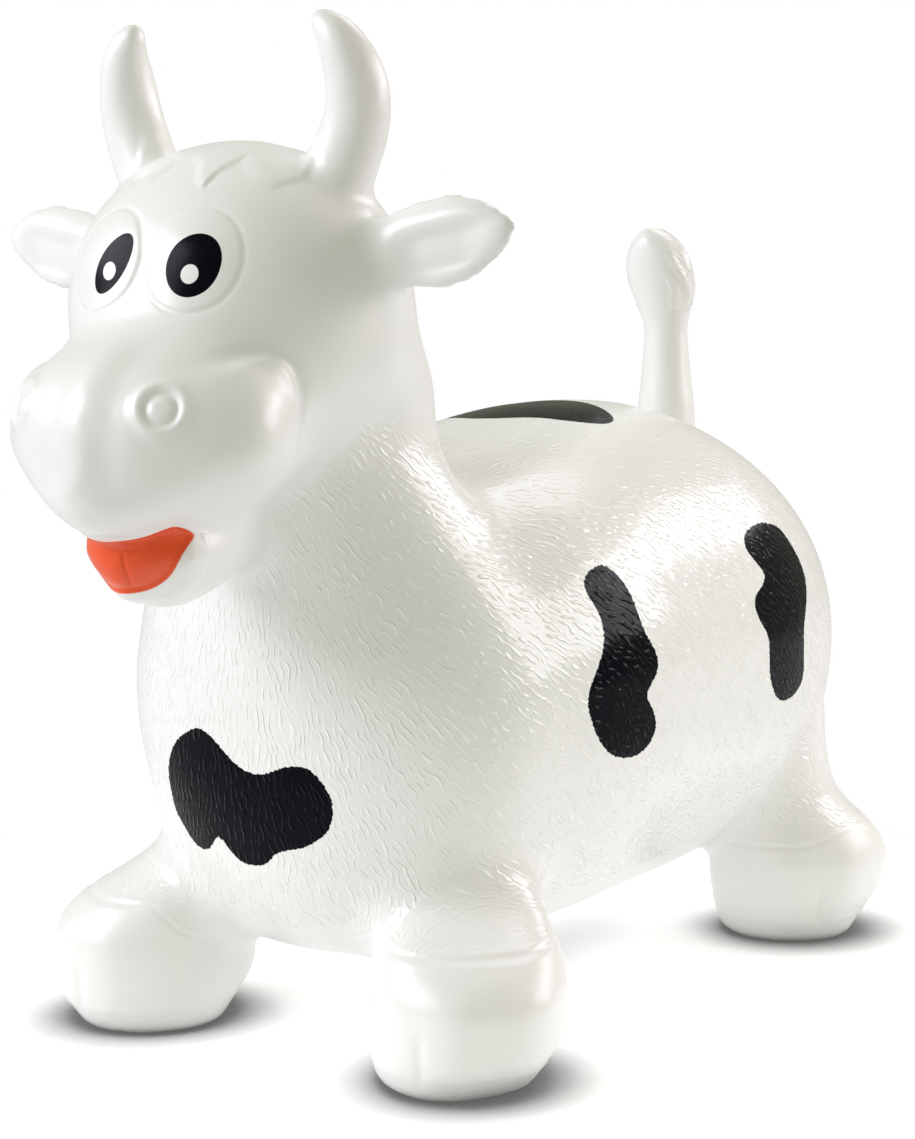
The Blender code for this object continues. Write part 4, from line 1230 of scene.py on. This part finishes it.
def turned(name, profile, middle_y, base_z, segments):
    """A closed turned piece, upright about the line x = 0, y = middle_y."""
    bm = bmesh.new()
    loops = []
    for i, (radius, height) in enumerate(profile):
        capped = i in (0, len(profile) - 1)
        made = bmesh.ops.create_circle(bm, cap_ends=capped, segments=segments, radius=radius * MM)
        for vert in made["verts"]:
            vert.co += Vector((0, middle_y, (base_z + height) * MM))
        loops.append(edges_of(made["verts"]))
    for lower, upper in zip(loops, loops[1:]):
        bmesh.ops.bridge_loops(bm, edges=lower + upper)
    bmesh.ops.recalc_face_normals(bm, faces=bm.faces)
    if bm.calc_volume(signed=True) < 0:
        bmesh.ops.reverse_faces(bm, faces=bm.faces)
    mesh = mesh_from(bm, name)
    mesh.shade_smooth()
    return placed(name, mesh)


plug = turned("air_plug", PLUG_PROFILE, TORSO_FRONT_Y + VALVE_SETBACK, PLUG_TOP, 72)
finished(plug, plastic(), "plug", ["valve_plug"])

# The stage
bm = bmesh.new()
bmesh.ops.create_grid(bm, x_segments=1, y_segments=1, size=12)
floor = placed("floor", mesh_from(bm, "floor"))
floor_paint, tree, shader, place = new_material("floor")
# Close to the animal the floor takes the lamps' shadow, and a painted contact shadow darkens it where the
# animal hides it; further off it is plain white
away = add_node(tree, "ShaderNodeVectorMath", {0: place}, operation="LENGTH").outputs["Value"]
hidden = add_node(tree, "ShaderNodeAmbientOcclusion", {"Distance": 0.038}, samples=8).outputs["AO"]
# A painted contact shadow: the floor's colour and glow are made darker where ambient occlusion finds it
# hidden
painted_contact_shadow = ranged(tree, hidden, (0.35, 0.95), (0.15, 1.0), "SMOOTHSTEP")
colour = maths(tree, "MULTIPLY", painted_contact_shadow, 0.5)
set_inputs(tree, shader, {"Base Color": colour, "Roughness": 0.6, "Specular IOR Level": 0.1})
# The light that the floor throws back fades further off, as from a table's end
reach = ranged(tree, ranged(tree, away, (0.32, 0.60), kind="SMOOTHSTEP"), end=(0.65, 0.1))
glow = add_node(tree, "ShaderNodeEmission", {"Color": painted_contact_shadow, "Strength": reach})
lit = add_node(tree, "ShaderNodeAddShader", {0: shader.outputs[0], 1: glow.outputs[0]})
white = add_node(tree, "ShaderNodeEmission", {"Strength": 1.0})
seen = add_node(tree, "ShaderNodeLightPath").outputs["Is Camera Ray"]
seen_far = maths(tree, "MULTIPLY", ranged(tree, away, (0.36, 0.46), kind="SMOOTHSTEP"), seen)
both = add_node(tree, "ShaderNodeMixShader", {"Fac": seen_far, 1: lit.outputs[0], 2: white.outputs[0]})
set_inputs(tree, tree.nodes["Material Output"], {"Surface": both.outputs[0]})
floor.data.materials.append(floor_paint)

# The backdrop is white to the camera, and lights the animal more weakly and a little yellower
FILL = 0.475
FILL_IN_GLOSS = 0.7
FILL_TINT = (1.0, 0.99, 0.79, 1)
world = bpy.data.worlds.new("studio")
bpy.context.scene.world = world
world.use_nodes = True
tree = world.node_tree
rays = add_node(tree, "ShaderNodeLightPath").outputs
seen = maths(tree, "MAXIMUM", rays["Is Camera Ray"], rays["Is Transmission Ray"])
sheen = ranged(tree, rays["Is Glossy Ray"], end=(1.0, FILL_IN_GLOSS))
set_inputs(tree, tree.nodes["Background"], {
    "Color": mixed(tree, seen, FILL_TINT, (1, 1, 1, 1)),
    "Strength": maths(tree, "MULTIPLY", ranged(tree, seen, end=(FILL, 1.0)), sheen),
})


def add_softbox(name, place, target, size, power, colour):
    light = bpy.data.lights.new(name, "AREA")
    light.shape = "RECTANGLE"
    light.size, light.size_y = size
    light.energy = power
    light.color = colour
    lamp = placed(name, light)
    lamp.location = place
    lamp.rotation_mode = "QUATERNION"
    lamp.rotation_quaternion = (Vector(place) - Vector(target)).to_track_quat("Z", "Y")


add_softbox("key", (-1.24, -1.34, 1.21), (0, -0.1, 0.25), (1.5, 0.9), 33.0, (0.88, 0.90, 1.0))
add_softbox("back", (0.80, 1.76, 1.02), (0, 0.1, 0.2), (0.9, 0.4), 6.5, (1.0, 0.92, 1.0))
add_softbox("side", (1.56, 1.25, 0.88), (0, 0, 0.25), (1.2, 0.9), 16.5, (0.98, 0.95, 1.0))
add_softbox("top", (0, 1.26, 1.93), (0, 0, 0.25), (1.2, 0.9), 10.5, (0.93, 0.92, 1.0))

# The camera
back = Vector((
    math.sin(CAMERA_AZIMUTH) * math.cos(CAMERA_ELEVATION),
    -math.cos(CAMERA_AZIMUTH) * math.cos(CAMERA_ELEVATION),
    math.sin(CAMERA_ELEVATION),
))
level = Vector((math.cos(CAMERA_AZIMUTH), math.sin(CAMERA_AZIMUTH), 0))
upright = back.cross(level)
across = level * math.cos(CAMERA_ROLL) + upright * math.sin(CAMERA_ROLL)
up = upright * math.cos(CAMERA_ROLL) - level * math.sin(CAMERA_ROLL)
lens = bpy.data.cameras.new("camera")
lens.sensor_width = SENSOR
lens.lens = FOCAL_PIXELS / PHOTO_HEIGHT * SENSOR
camera = placed("camera", lens)
camera.rotation_mode = "QUATERNION"
camera.rotation_quaternion = Matrix((across, up, back)).transposed().to_quaternion()
camera.location = CAMERA_TARGET + level * CAMERA_ACROSS + upright * CAMERA_UP + back * CAMERA_DISTANCE
bpy.context.scene.camera = camera
bpy.context.scene.view_settings.view_transform = "Standard"
